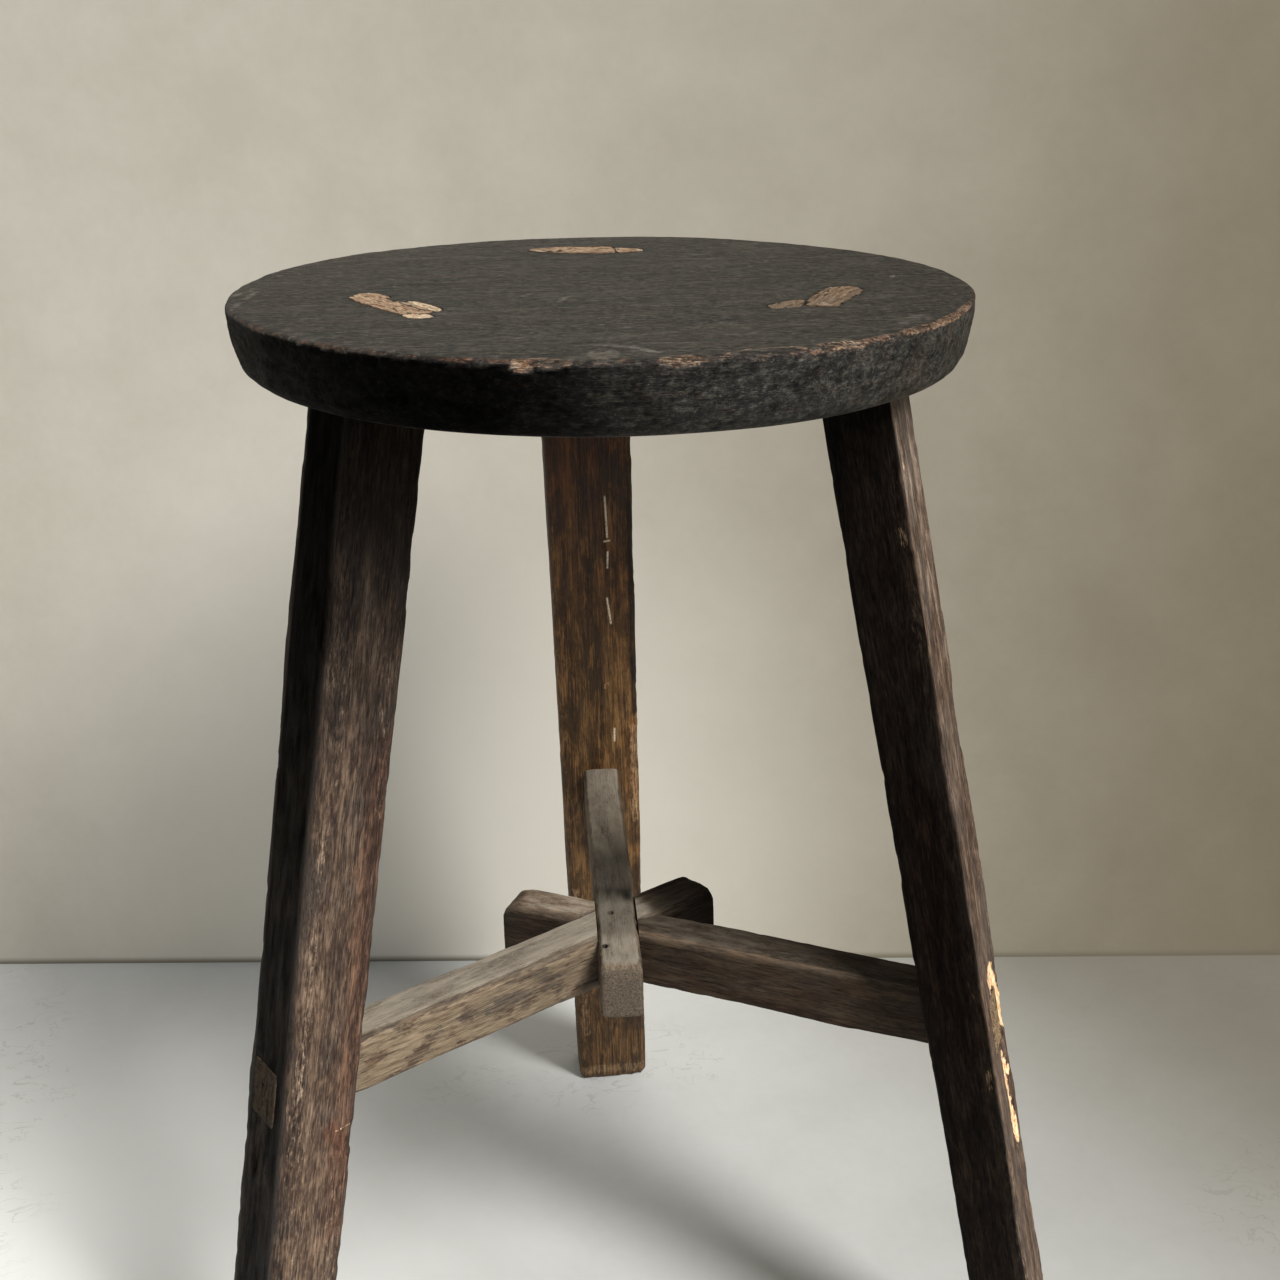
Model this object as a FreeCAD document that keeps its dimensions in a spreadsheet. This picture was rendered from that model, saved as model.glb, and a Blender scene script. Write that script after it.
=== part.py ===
import FreeCAD, Part
import math
import os
import Sketcher

# Three-legged round stool in wood, built from separate pieces:
# a one-piece round seat, three splayed legs whose tenons run through the seat,
# slips and wedges packing those tenons, and three stretchers, each tenoned
# through one leg, that cross in a three-way lap under the middle of the seat.
#
# Frame: +Z up, the floor at z = 0, the back leg towards +Y.  The origin is the
# centre of the stool's footprint box on the floor.  The axis of the seat
# stands at (axis_x, axis_y).
# Every leg has its own polar frame about the seat's axis: local X points
# outward along the leg's direction, local Y is tangential, anticlockwise.

V = FreeCAD.Vector
os.makedirs("parts", exist_ok=True)
doc = FreeCAD.newDocument("three_legged_stool")

# ---------------------------------------------------------------- dimensions
dims = doc.addObject("Spreadsheet::Sheet", "dims")
dims.Label = "dims"
TABLE = [
    # position of the seat's axis in the frame
    ("axis_x", -2.78), ("axis_y", -33.6),
    # seat
    ("seat_radius", 150.0), ("seat_top", 524.0), ("seat_thickness", 28.0),
    ("seat_side_arc", 70.0), ("seat_bottom_round", 8.0), ("seat_arris", 0.8),
    # worn corners of the legs
    ("leg_corner", 3.0),
    # front left leg
    ("fl_azimuth", 209.8), ("fl_head_reach", 107.7), ("fl_head_side", 0.3),
    ("fl_foot_reach", 200.0), ("fl_foot_side", 2.9),
    ("fl_head_width", 40.4), ("fl_foot_width", 40.8),
    ("fl_head_depth", 32.5), ("fl_foot_depth", 30.8), ("fl_turn", 2.4),
    ("fl_tenon_low_reach", 100.0), ("fl_tenon_low_side", 0.0),
    ("fl_tenon_top_reach", 93.0), ("fl_tenon_top_side", -3.0),
    ("fl_tenon_depth", 14.0), ("fl_tenon_width", 38.0),
    # front right leg
    ("fr_azimuth", 330.6), ("fr_head_reach", 110.4), ("fr_head_side", 0.1),
    ("fr_foot_reach", 207.8), ("fr_foot_side", 0.7),
    ("fr_head_width", 42.5), ("fr_foot_width", 39.4),
    ("fr_head_depth", 27.3), ("fr_foot_depth", 25.8), ("fr_turn", 4.1),
    ("fr_tenon_low_reach", 105.3), ("fr_tenon_low_side", 0.5),
    ("fr_tenon_top_reach", 97.0), ("fr_tenon_top_side", 3.0),
    ("fr_tenon_depth", 14.0), ("fr_tenon_width", 40.0),
    # back leg
    ("bk_azimuth", 90.0), ("bk_head_reach", 109.4), ("bk_head_side", 3.0),
    ("bk_foot_reach", 202.8), ("bk_foot_side", -9.3),
    ("bk_head_width", 43.4), ("bk_foot_width", 41.2),
    ("bk_head_depth", 29.5), ("bk_foot_depth", 28.8), ("bk_turn", 0.0),
    ("bk_tenon_low_reach", 103.7), ("bk_tenon_low_side", 3.0),
    ("bk_tenon_top_reach", 99.0), ("bk_tenon_top_side", 4.0),
    ("bk_tenon_depth", 15.0), ("bk_tenon_width", 40.0),
    # stretchers: top face at the crossing, two lap levels below it
    ("cross_top", 229.6), ("lap_upper", 220.4), ("lap_lower", 211.4),
    ("fl_bar_azimuth", 209.5), ("fl_bar_dip", 2.0), ("fl_bar_width", 21.5),
    ("fl_bar_height", 27.0), ("fl_bar_stub", 49.5), ("fl_bar_reach", 157.0),
    ("fr_bar_azimuth", 331.8), ("fr_bar_dip", -0.4), ("fr_bar_width", 19.5),
    ("fr_bar_height", 28.0), ("fr_bar_stub", 56.0), ("fr_bar_reach", 162.0),
    ("bk_bar_azimuth", 88.5), ("bk_bar_dip", -2.2), ("bk_bar_width", 19.0),
    ("bk_bar_height", 27.5), ("bk_bar_stub", 41.5), ("bk_bar_reach", 158.0),
    ("bar_end_chamfer", 1.2),
    # the tenon of a stretcher is a little narrower and lower than the bar
    ("bar_tenon_side_step", 1.25), ("bar_tenon_top_step", 2.5),
    ("bar_tenon_low_step", 1.0), ("bar_tenon_reach", 215.0),
    # slips and wedges beside the seat tenons (size at the top / at the foot)
    ("slip_drop", 24.0),
    ("fl_inner_slip_reach", 84.0), ("fl_inner_slip_side", 1.5),
    ("fl_inner_slip_depth", 4.0), ("fl_inner_slip_width", 25.0),
    ("fl_outer_slip_reach", 101.75), ("fl_outer_slip_side", 8.0),
    ("fl_outer_slip_depth", 3.5), ("fl_outer_slip_width", 15.0),
    ("fl_small_slip_reach", 84.5), ("fl_small_slip_side", -17.5),
    ("fl_small_slip_depth", 3.0), ("fl_small_slip_width", 9.0),
    ("fr_wedge_reach", 94.0), ("fr_wedge_side", -22.5),
    ("fr_wedge_depth", 8.0), ("fr_wedge_width", 11.0),
    ("bk_wedge_reach", 97.5), ("bk_wedge_side", -21.5),
    ("bk_wedge_depth", 9.0), ("bk_wedge_width", 11.0),
]
D = {}
for row, (alias, value) in enumerate(TABLE, start=1):
    dims.set("A%d" % row, alias)
    dims.set("B%d" % row, repr(value))
    dims.setAlias("B%d" % row, alias)
    D[alias] = value
doc.recompute()


def E(text):
    """Expression text: every word that is an alias is read from the sheet."""
    out = []
    word = ""
    for ch in text + " ":
        if ch.isalnum() or ch == "_":
            word += ch
        else:
            out.append("dims." + word if word in D else word)
            word = ""
            out.append(ch)
    return "".join(out).strip()


def plane(body, role):
    for f in body.Origin.OriginFeatures:
        if f.Role == role:
            return f
    raise ValueError(role)


def new_body(name, azimuth=None, height=None, dip=None):
    """A body standing on the seat's axis and turned to its azimuth."""
    b = doc.addObject("PartDesign::Body", name)
    b.Label = name
    if azimuth:
        rot = FreeCAD.Rotation(V(0, 0, 1), D[azimuth])
        if dip:
            rot = rot.multiply(FreeCAD.Rotation(V(0, 1, 0), D[dip]))
        b.Placement = FreeCAD.Placement(
            V(D["axis_x"], D["axis_y"], D[height] if height else 0.0), rot)
    return b


def rect_sketch(body, name, role, x, y, z, turn, sx, sy):
    """A rectangle centred on the sketch's origin; x, y, z, turn place it."""
    sk = body.newObject("Sketcher::SketchObject", name)
    sk.AttachmentSupport = [(plane(body, role), "")]
    sk.MapMode = "FlatFace"
    for prop, text in (("Base.x", x), ("Base.y", y), ("Base.z", z),
                       ("Rotation.Angle", turn)):
        if text is not None:
            sk.setExpression("AttachmentOffset." + prop, E(text))
    a, b = 10.0, 8.0
    P = [V(-a, -b, 0), V(a, -b, 0), V(a, b, 0), V(-a, b, 0)]
    for i in range(4):
        sk.addGeometry(Part.LineSegment(P[i], P[(i + 1) % 4]), False)
    C = Sketcher.Constraint
    for i in range(4):
        sk.addConstraint(C("Coincident", i, 2, (i + 1) % 4, 1))
    sk.addConstraint(C("Horizontal", 0))
    sk.addConstraint(C("Horizontal", 2))
    sk.addConstraint(C("Vertical", 1))
    sk.addConstraint(C("Vertical", 3))
    sk.addConstraint(C("Symmetric", 0, 1, 2, 1, -1, 1))
    c1 = sk.addConstraint(C("DistanceX", 0, 1, 0, 2, 2 * a))
    sk.setExpression("Constraints[%d]" % c1, E(sx))
    c2 = sk.addConstraint(C("DistanceY", 1, 1, 1, 2, 2 * b))
    sk.setExpression("Constraints[%d]" % c2, E(sy))
    return sk


def worn_sketch(body, name, x, y, z, turn, sx, sy, corner):
    """A level rectangle with round corners: the section of a worn leg."""
    sk = body.newObject("Sketcher::SketchObject", name)
    sk.AttachmentSupport = [(plane(body, "XY_Plane"), "")]
    sk.MapMode = "FlatFace"
    for prop, text in (("Base.x", x), ("Base.y", y), ("Base.z", z),
                       ("Rotation.Angle", turn)):
        sk.setExpression("AttachmentOffset." + prop, E(text))
    a, b, q = D[sx] / 2, D[sy] / 2, D[corner]
    C = Sketcher.Constraint

    def line(p, r):
        sk.addGeometry(Part.LineSegment(V(*p), V(*r)), False)

    def arc(cx, cy, a0):
        sk.addGeometry(Part.ArcOfCircle(
            Part.Circle(V(cx, cy, 0), V(0, 0, 1), q),
            math.radians(a0), math.radians(a0 + 90)), False)
    line((-a + q, -b, 0), (a - q, -b, 0))      # 0 lower side
    arc(a - q, -b + q, 270)                    # 1
    line((a, -b + q, 0), (a, b - q, 0))        # 2 outer side
    arc(a - q, b - q, 0)                       # 3
    line((a - q, b, 0), (-a + q, b, 0))        # 4 upper side
    arc(-a + q, b - q, 90)                     # 5
    line((-a, b - q, 0), (-a, -b + q, 0))      # 6 inner side
    arc(-a + q, -b + q, 180)                   # 7
    for i in range(8):
        sk.addConstraint(C("Tangent", i, 2, (i + 1) % 8, 1))
    sk.addConstraint(C("Horizontal", 0))
    sk.addConstraint(C("Vertical", 2))
    sk.addConstraint(C("Horizontal", 4))
    sk.addConstraint(C("Vertical", 6))
    for i in (3, 5, 7):
        sk.addConstraint(C("Equal", 1, i))
    sk.addConstraint(C("Symmetric", 0, 1, 4, 1, -1, 1))
    for con, text in ((C("Radius", 1, q), corner),
                      (C("DistanceX", 6, 1, 2, 1, 2 * a), sx),
                      (C("DistanceY", 0, 1, 4, 1, 2 * b), sy)):
        i = sk.addConstraint(con)
        sk.setExpression("Constraints[%d]" % i, E(text))
    return sk


def loft(body, name, first, second):
    f = body.newObject("PartDesign::AdditiveLoft", name)
    f.Profile = first
    f.Sections = [second]
    f.Ruled = True
    first.Visibility = False
    second.Visibility = False
    return f


# ---------------------------------------------------------------------- seat
# A turned slab: flat top, a side that leans in along a long arc, and a
# rounded lower corner.
seat_blank = new_body("seat_blank")
seat_blank.Placement = FreeCAD.Placement(V(D["axis_x"], D["axis_y"], 0),
                                         FreeCAD.Rotation())
seat_blank.setExpression("Placement.Base.x", E("axis_x"))
seat_blank.setExpression("Placement.Base.y", E("axis_y"))
sk = seat_blank.newObject("Sketcher::SketchObject", "seat_profile")
sk.AttachmentSupport = [(plane(seat_blank, "XZ_Plane"), "")]
sk.MapMode = "FlatFace"
R0, T0, H0, RA = (D["seat_radius"], D["seat_thickness"], D["seat_top"],
                  D["seat_side_arc"])
xb = R0 - RA + math.sqrt(RA * RA - T0 * T0)
a1 = math.asin(T0 / RA)
sk.addGeometry(Part.LineSegment(V(0, H0 - T0, 0), V(0, H0, 0)), False)   # 0 axis
sk.addGeometry(Part.LineSegment(V(0, H0, 0), V(R0, H0, 0)), False)       # 1 top
sk.addGeometry(Part.ArcOfCircle(Part.Circle(V(R0 - RA, H0, 0), V(0, 0, 1), RA),
                                -a1, 0.0), False)                        # 2 side
sk.addGeometry(Part.LineSegment(V(xb, H0 - T0, 0), V(0, H0 - T0, 0)), False)
C = Sketcher.Constraint
sk.addConstraint(C("Coincident", 0, 2, 1, 1))
sk.addConstraint(C("Coincident", 1, 2, 2, 2))
sk.addConstraint(C("Coincident", 2, 1, 3, 1))
sk.addConstraint(C("Coincident", 3, 2, 0, 1))
sk.addConstraint(C("Vertical", 0))
sk.addConstraint(C("Horizontal", 1))
sk.addConstraint(C("Horizontal", 3))
sk.addConstraint(C("PointOnObject", 0, 1, -2))
sk.addConstraint(C("PointOnObject", 2, 3, 1))
i = sk.addConstraint(C("DistanceY", -1, 1, 0, 2, H0))
sk.setExpression("Constraints[%d]" % i, E("seat_top"))
i = sk.addConstraint(C("DistanceY", 0, 1, 0, 2, T0))
sk.setExpression("Constraints[%d]" % i, E("seat_thickness"))
i = sk.addConstraint(C("DistanceX", 1, 1, 1, 2, R0))
sk.setExpression("Constraints[%d]" % i, E("seat_radius"))
i = sk.addConstraint(C("Radius", 2, RA))
sk.setExpression("Constraints[%d]" % i, E("seat_side_arc"))
rev = seat_blank.newObject("PartDesign::Revolution", "seat_turning")
rev.Profile = sk
rev.ReferenceAxis = (sk, ["V_Axis"])
rev.Angle = 360.0
sk.Visibility = False
doc.recompute()


def circle_edges(shape, z, tol=0.05):
    names = []
    for n, e in enumerate(shape.Edges, start=1):
        b = e.BoundBox
        if abs(b.ZMin - z) < tol and abs(b.ZMax - z) < tol and b.XLength > 100:
            names.append("Edge%d" % n)
    return names


fil = seat_blank.newObject("PartDesign::Fillet", "seat_lower_round")
fil.Base = (rev, circle_edges(rev.Shape, H0 - T0))
fil.Radius = D["seat_bottom_round"]
fil.setExpression("Radius", E("seat_bottom_round"))
doc.recompute()
arr = seat_blank.newObject("PartDesign::Chamfer", "seat_top_arris")
arr.Base = (fil, circle_edges(fil.Shape, H0))
arr.Size = D["seat_arris"]
arr.setExpression("Size", E("seat_arris"))
doc.recompute()


# ---------------------------------------------------------------------- legs
def make_leg(key, name):
    """Straight tapering leg between the seat's underside and the floor, cut
    level at both ends, with worn corners and a tenon up through the seat."""
    b = new_body(name, key + "_azimuth")
    b.setExpression("Placement.Base.x", E("axis_x"))
    b.setExpression("Placement.Base.y", E("axis_y"))
    head = worn_sketch(b, name + "_head", key + "_head_reach",
                       key + "_head_side", "seat_top - seat_thickness",
                       key + "_turn", key + "_head_depth", key + "_head_width",
                       "leg_corner")
    foot = worn_sketch(b, name + "_foot", key + "_foot_reach",
                       key + "_foot_side", "0", key + "_turn",
                       key + "_foot_depth", key + "_foot_width", "leg_corner")
    doc.recompute()
    loft(b, name + "_shaft", foot, head)
    doc.recompute()
    low = rect_sketch(b, name + "_tenon_low", "XY_Plane",
                      key + "_tenon_low_reach", key + "_tenon_low_side",
                      "seat_top - seat_thickness", None,
                      key + "_tenon_depth", key + "_tenon_width")
    top = rect_sketch(b, name + "_tenon_top", "XY_Plane",
                      key + "_tenon_top_reach", key + "_tenon_top_side",
                      "seat_top", None,
                      key + "_tenon_depth", key + "_tenon_width")
    doc.recompute()
    loft(b, name + "_tenon", low, top)
    doc.recompute()
    return b


legs = {"fl": make_leg("fl", "front_left_leg_blank"),
        "fr": make_leg("fr", "front_right_leg_blank"),
        "bk": make_leg("bk", "back_leg_blank")}


# ----------------------------------------------------------- slips and wedges
def make_slip(key, part, name):
    """Thin tapering wedge driven down beside a seat tenon, flush on top.  It
    is trimmed by the tenon, so one face lies on the tenon's cheek or end."""
    b = new_body(name, key + "_azimuth")
    b.setExpression("Placement.Base.x", E("axis_x"))
    b.setExpression("Placement.Base.y", E("axis_y"))
    pre = key + "_" + part
    top = rect_sketch(b, name + "_top", "XY_Plane", pre + "_reach",
                      pre + "_side", "seat_top", None, pre + "_depth",
                      pre + "_width")
    # the wedge leans with the tenon and thins to a third at its point
    lean_r = "(%s_tenon_low_reach - %s_tenon_top_reach) * slip_drop / seat_thickness" % (key, key)
    lean_s = "(%s_tenon_low_side - %s_tenon_top_side) * slip_drop / seat_thickness" % (key, key)
    low = rect_sketch(b, name + "_low", "XY_Plane",
                      pre + "_reach + " + lean_r, pre + "_side + " + lean_s,
                      "seat_top - slip_drop", None, pre + "_depth / 3",
                      pre + "_width * 0.8")
    doc.recompute()
    loft(b, name + "_taper", low, top)
    doc.recompute()
    return b


slips = [
    ("front_left_inner_slip", "fl", make_slip("fl", "inner_slip", "fl_inner_slip_blank")),
    ("front_left_outer_slip", "fl", make_slip("fl", "outer_slip", "fl_outer_slip_blank")),
    ("front_left_small_slip", "fl", make_slip("fl", "small_slip", "fl_small_slip_blank")),
    ("front_right_tenon_wedge", "fr", make_slip("fr", "wedge", "fr_wedge_blank")),
    ("back_tenon_wedge", "bk", make_slip("bk", "wedge", "bk_wedge_blank")),
]


# ---------------------------------------------------------------- stretchers
def make_bar(key, name, tenon):
    """Rectangular bar along local X, its top face at local z = 0.  With tenon
    True it is the narrower prism that runs on through the leg."""
    b = new_body(name, key + "_bar_azimuth", "cross_top", key + "_bar_dip")
    b.setExpression("Placement.Base.x", E("axis_x"))
    b.setExpression("Placement.Base.y", E("axis_y"))
    b.setExpression("Placement.Base.z", E("cross_top"))
    h = key + "_bar_height"
    w = key + "_bar_width"
    if tenon:
        sk = rect_sketch(b, name + "_section", "YZ_Plane", "0",
                         "-(%s + bar_tenon_top_step - bar_tenon_low_step) / 2" % h,
                         key + "_bar_reach - 12", None,
                         w + " - 2 * bar_tenon_side_step",
                         h + " - bar_tenon_top_step - bar_tenon_low_step")
        length = "bar_tenon_reach - %s_bar_reach + 12" % key
    else:
        sk = rect_sketch(b, name + "_section", "YZ_Plane", "0", "-%s / 2" % h,
                         "-%s_bar_stub" % key, None, w, h)
        length = "%s_bar_reach + %s_bar_stub" % (key, key)
    doc.recompute()
    pad = b.newObject("PartDesign::Pad", name + "_pad")
    pad.Profile = sk
    pad.Length = 100.0
    pad.setExpression("Length", E(length))
    sk.Visibility = False
    doc.recompute()
    if not tenon:
        # the sawn end past the crossing has its four edges knocked off
        sx = -D[key + "_bar_stub"]
        loc = b.Placement.inverse()
        ends = []
        for n, e in enumerate(pad.Shape.Edges, start=1):
            bb = e.BoundBox
            if abs(bb.XMin - sx) < 0.05 and abs(bb.XMax - sx) < 0.05:
                ends.append("Edge%d" % n)
        ch = b.newObject("PartDesign::Chamfer", name + "_end")
        ch.Base = (pad, ends)
        ch.Size = D["bar_end_chamfer"]
        ch.setExpression("Size", E("bar_end_chamfer"))
        doc.recompute()
    return b


bars = {k: make_bar(k, n + "_bar_blank", False) for k, n in
        (("fl", "front_left"), ("fr", "front_right"), ("bk", "back"))}
tens = {k: make_bar(k, n + "_bar_tenon", True) for k, n in
        (("fl", "front_left"), ("fr", "front_right"), ("bk", "back"))}


def fuse(name, shapes):
    f = doc.addObject("Part::MultiFuse", name)
    f.Shapes = shapes
    f.Refine = True
    return f


def cut(name, base, tool):
    f = doc.addObject("Part::Cut", name)
    f.Base = base
    f.Tool = tool
    f.Refine = True
    return f


def common(name, base, tool):
    f = doc.addObject("Part::Common", name)
    f.Base = base
    f.Tool = tool
    f.Refine = True
    return f


def level_box(name, low, high):
    """Wide flat box between two heights, centred on the seat's axis."""
    f = doc.addObject("Part::Box", name)
    f.setExpression("Length", "160")
    f.setExpression("Width", "160")
    f.setExpression("Height", E("%s - (%s)" % (high, low)))
    f.setExpression("Placement.Base.x", E("axis_x - 80"))
    f.setExpression("Placement.Base.y", E("axis_y - 80"))
    f.setExpression("Placement.Base.z", E(low))
    return f


# Three-way lap.  The back stretcher lies on top, the front left one in the
# middle and the front right one at the bottom: above lap_upper the back bar
# keeps its wood, below lap_lower the front right bar keeps its wood.
below_upper = level_box("below_upper_lap", "lap_upper - 60", "lap_upper")
above_upper = level_box("above_upper_lap", "lap_upper", "lap_upper + 60")
below_lower = level_box("below_lower_lap", "lap_lower - 60", "lap_lower")
above_lower = level_box("above_lower_lap", "lap_lower", "lap_lower + 60")
doc.recompute()

back_over = common("back_keeps", bars["bk"], above_upper)
left_over_right = common("left_keeps", bars["fl"], above_lower)
right_under_left = common("right_keeps_low", bars["fr"], below_lower)
others_under_back = common("others_keep_low",
                           fuse("front_pair", [bars["fl"], bars["fr"]]),
                           below_upper)
doc.recompute()

lap_tool = {
    "bk": others_under_back,
    "fl": fuse("left_notch", [back_over, right_under_left]),
    "fr": fuse("right_notch", [back_over, left_over_right]),
}
doc.recompute()


def make_stretcher(key, name):
    body = cut(name + "_shoulder", bars[key], legs[key])
    through = common(name + "_through", tens[key], legs[key])
    whole = fuse(name + "_whole", [body, through])
    return cut(name, whole, lap_tool[key])


parts = {}
parts["front_left_stretcher"] = make_stretcher("fl", "front_left_stretcher")
parts["front_right_stretcher"] = make_stretcher("fr", "front_right_stretcher")
parts["back_stretcher"] = make_stretcher("bk", "back_stretcher")
parts["front_left_leg"] = cut("front_left_leg", legs["fl"], tens["fl"])
parts["front_right_leg"] = cut("front_right_leg", legs["fr"], tens["fr"])
parts["back_leg"] = cut("back_leg", legs["bk"], tens["bk"])
doc.recompute()

# Slips and wedges are trimmed where the tenon stands.
for name, key, blank in slips:
    parts[name] = cut(name, blank, legs[key])
doc.recompute()

# The seat's mortises are the space of the tenons and their packing.
packing = fuse("seat_mortises", [legs["fl"], legs["fr"], legs["bk"]]
               + [s[2] for s in slips])
parts["seat"] = cut("seat", seat_blank, packing)
doc.recompute()

# ------------------------------------------------------------------ checking
bad = []
for o in doc.Objects:
    if "Invalid" in o.State or "Error" in o.State:
        bad.append("%s: %s" % (o.Name, o.State))
for name, o in parts.items():
    if o.Shape.isNull() or not o.Shape.isValid():
        bad.append(name + ": shape is null or not valid")
    if len(o.Shape.Solids) != 1:
        bad.append("%s: %d solids" % (name, len(o.Shape.Solids)))
if bad:
    raise RuntimeError("; ".join(bad))

box = FreeCAD.BoundBox()
for name, o in parts.items():
    o.Label = name
    bb = o.Shape.optimalBoundingBox(True, False)
    box.add(bb)
    print("%-26s volume %10.1f mm3  box %s" % (
        name, o.Shape.Volume,
        ", ".join("%.1f" % v for v in (bb.XMin, bb.XMax,
                                       bb.YMin, bb.YMax,
                                       bb.ZMin, bb.ZMax))))
    o.Shape.exportStep(os.path.join("parts", name + ".step"))
print("whole box %.2f..%.2f  %.2f..%.2f  %.2f..%.2f" % (
    box.XMin, box.XMax, box.YMin, box.YMax, box.ZMin, box.ZMax))
print("centre of the box in plan: %.3f %.3f" % ((box.XMin + box.XMax) / 2,
                                                (box.YMin + box.YMax) / 2))
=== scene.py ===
import bpy
import bmesh
import math
import numpy as np
from mathutils import Matrix, Vector

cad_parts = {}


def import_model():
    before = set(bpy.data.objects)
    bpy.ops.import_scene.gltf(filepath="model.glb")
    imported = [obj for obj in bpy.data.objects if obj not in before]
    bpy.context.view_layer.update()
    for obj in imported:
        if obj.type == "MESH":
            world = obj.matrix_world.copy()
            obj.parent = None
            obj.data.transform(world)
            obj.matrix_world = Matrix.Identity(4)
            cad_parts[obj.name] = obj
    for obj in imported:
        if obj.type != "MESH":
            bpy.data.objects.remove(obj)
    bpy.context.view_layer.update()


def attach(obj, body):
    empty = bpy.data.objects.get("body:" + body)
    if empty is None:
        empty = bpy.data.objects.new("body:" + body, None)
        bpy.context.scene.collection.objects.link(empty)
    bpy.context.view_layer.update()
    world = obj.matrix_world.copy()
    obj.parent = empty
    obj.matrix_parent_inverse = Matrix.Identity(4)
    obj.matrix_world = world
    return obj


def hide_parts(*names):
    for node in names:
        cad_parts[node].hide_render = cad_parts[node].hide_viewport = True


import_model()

# All shape code below works in millimetres in the row frame.
MM = 0.001
AX, AY = -2.78, -33.6            # axis of the seat
Z_TOP, Z_LOW, SEAT_R = 524.0, 496.0, 150.0
CROSS, LAP_U, LAP_L = 229.6, 220.4, 211.4

LEGS = {
    "fl": dict(node="front_left_leg", az=209.8, hr=107.7, hs=0.3, fr=200.0, fs=2.9,
               hw=40.4, fw=40.8, hd=32.5, fd=30.8, turn=2.4),
    "fr": dict(node="front_right_leg", az=330.6, hr=110.4, hs=0.1, fr=207.8, fs=0.7,
               hw=42.5, fw=39.4, hd=27.3, fd=25.8, turn=4.1),
    "bk": dict(node="back_leg", az=90.0, hr=109.4, hs=3.0, fr=202.8, fs=-9.3,
               hw=43.4, fw=41.2, hd=29.5, fd=28.8, turn=0.0),
}
BARS = {
    "fl": dict(node="front_left_stretcher", az=209.5, dip=2.0, w=21.5, h=27.0,
               stub=49.5, reach=157.0),
    "fr": dict(node="front_right_stretcher", az=331.8, dip=-0.4, w=19.5, h=28.0,
               stub=56.0, reach=162.0),
    "bk": dict(node="back_stretcher", az=88.5, dip=-2.2, w=19.0, h=27.5,
               stub=41.5, reach=158.0),
}


# ------------------------------------------------------------------ noise
_rng = np.random.RandomState(20)
_perm = _rng.permutation(256)
_perm = np.concatenate([_perm, _perm, _perm])
_grad = _rng.normal(size=(256, 3))
_grad /= np.linalg.norm(_grad, axis=1)[:, None]


def pnoise(x, y, z):
    """Gradient noise, about -0.7 to 0.7, on arrays that broadcast together."""
    x, y, z = np.broadcast_arrays(x, y, z)
    shape = x.shape
    p = np.stack([x.ravel(), y.ravel(), z.ravel()], 1).astype(float)
    i = np.floor(p).astype(np.int64)
    f = p - i
    i &= 255
    u = f * f * f * (f * (f * 6 - 15) + 10)
    out = np.zeros(len(p))
    for dx in (0, 1):
        hx = _perm[i[:, 0] + dx]
        wx = u[:, 0] if dx else 1 - u[:, 0]
        for dy in (0, 1):
            hy = _perm[hx + i[:, 1] + dy]
            wy = u[:, 1] if dy else 1 - u[:, 1]
            for dz in (0, 1):
                g = _grad[_perm[hy + i[:, 2] + dz] & 255]
                wz = u[:, 2] if dz else 1 - u[:, 2]
                out += wx * wy * wz * (g[:, 0] * (f[:, 0] - dx) + g[:, 1] * (f[:, 1] - dy)
                                       + g[:, 2] * (f[:, 2] - dz))
    return (out * 1.5).reshape(shape)


def fbm(x, y, z, octaves=3, gain=0.5):
    total, amp = 0.0, 1.0
    for k in range(octaves):
        total = total + amp * pnoise(x * 2 ** k + 17.3 * k, y * 2 ** k - 9.1 * k, z * 2 ** k + 4.7 * k)
        amp *= gain
    return total


def smooth(e0, e1, x):
    t = np.clip((x - e0) / (e1 - e0), 0, 1)
    return t * t * (3 - 2 * t)


def poly_dist(u, v, pts):
    """Distance of (u, v) to a polyline."""
    best = np.full(np.shape(u), 1e9)
    for (u0, v0), (u1, v1) in zip(pts[:-1], pts[1:]):
        du, dv = u1 - u0, v1 - v0
        t = np.clip(((u - u0) * du + (v - v0) * dv) / max(du * du + dv * dv, 1e-9), 0, 1)
        best = np.minimum(best, np.hypot(u - u0 - t * du, v - v0 - t * dv))
    return best


def inside(u, v, poly):
    """Signed distance to a closed polygon, positive inside."""
    d = poly_dist(u, v, list(poly) + [poly[0]])
    flag = np.zeros(np.shape(u), bool)
    n = len(poly)
    for i in range(n):
        (x0, y0), (x1, y1) = poly[i], poly[(i + 1) % n]
        cond = (y0 > v) != (y1 > v)
        xs = x0 + (v - y0) * (x1 - x0) / (y1 - y0 if abs(y1 - y0) > 1e-9 else 1e-9)
        flag ^= cond & (u < xs)
    return np.where(flag, d, -d)


# ------------------------------------------------------------------- mesh
def grid_faces(rows, cols, wrap=True):
    """Quads between consecutive rings of a (rows x cols) lattice."""
    r = np.arange(rows - 1)[:, None]
    c = np.arange(cols if wrap else cols - 1)[None, :]
    c2 = (c + 1) % cols
    a = r * cols + c
    b = r * cols + c2
    return np.stack([a, b, b + cols, a + cols], -1).reshape(-1, 4)


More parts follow.
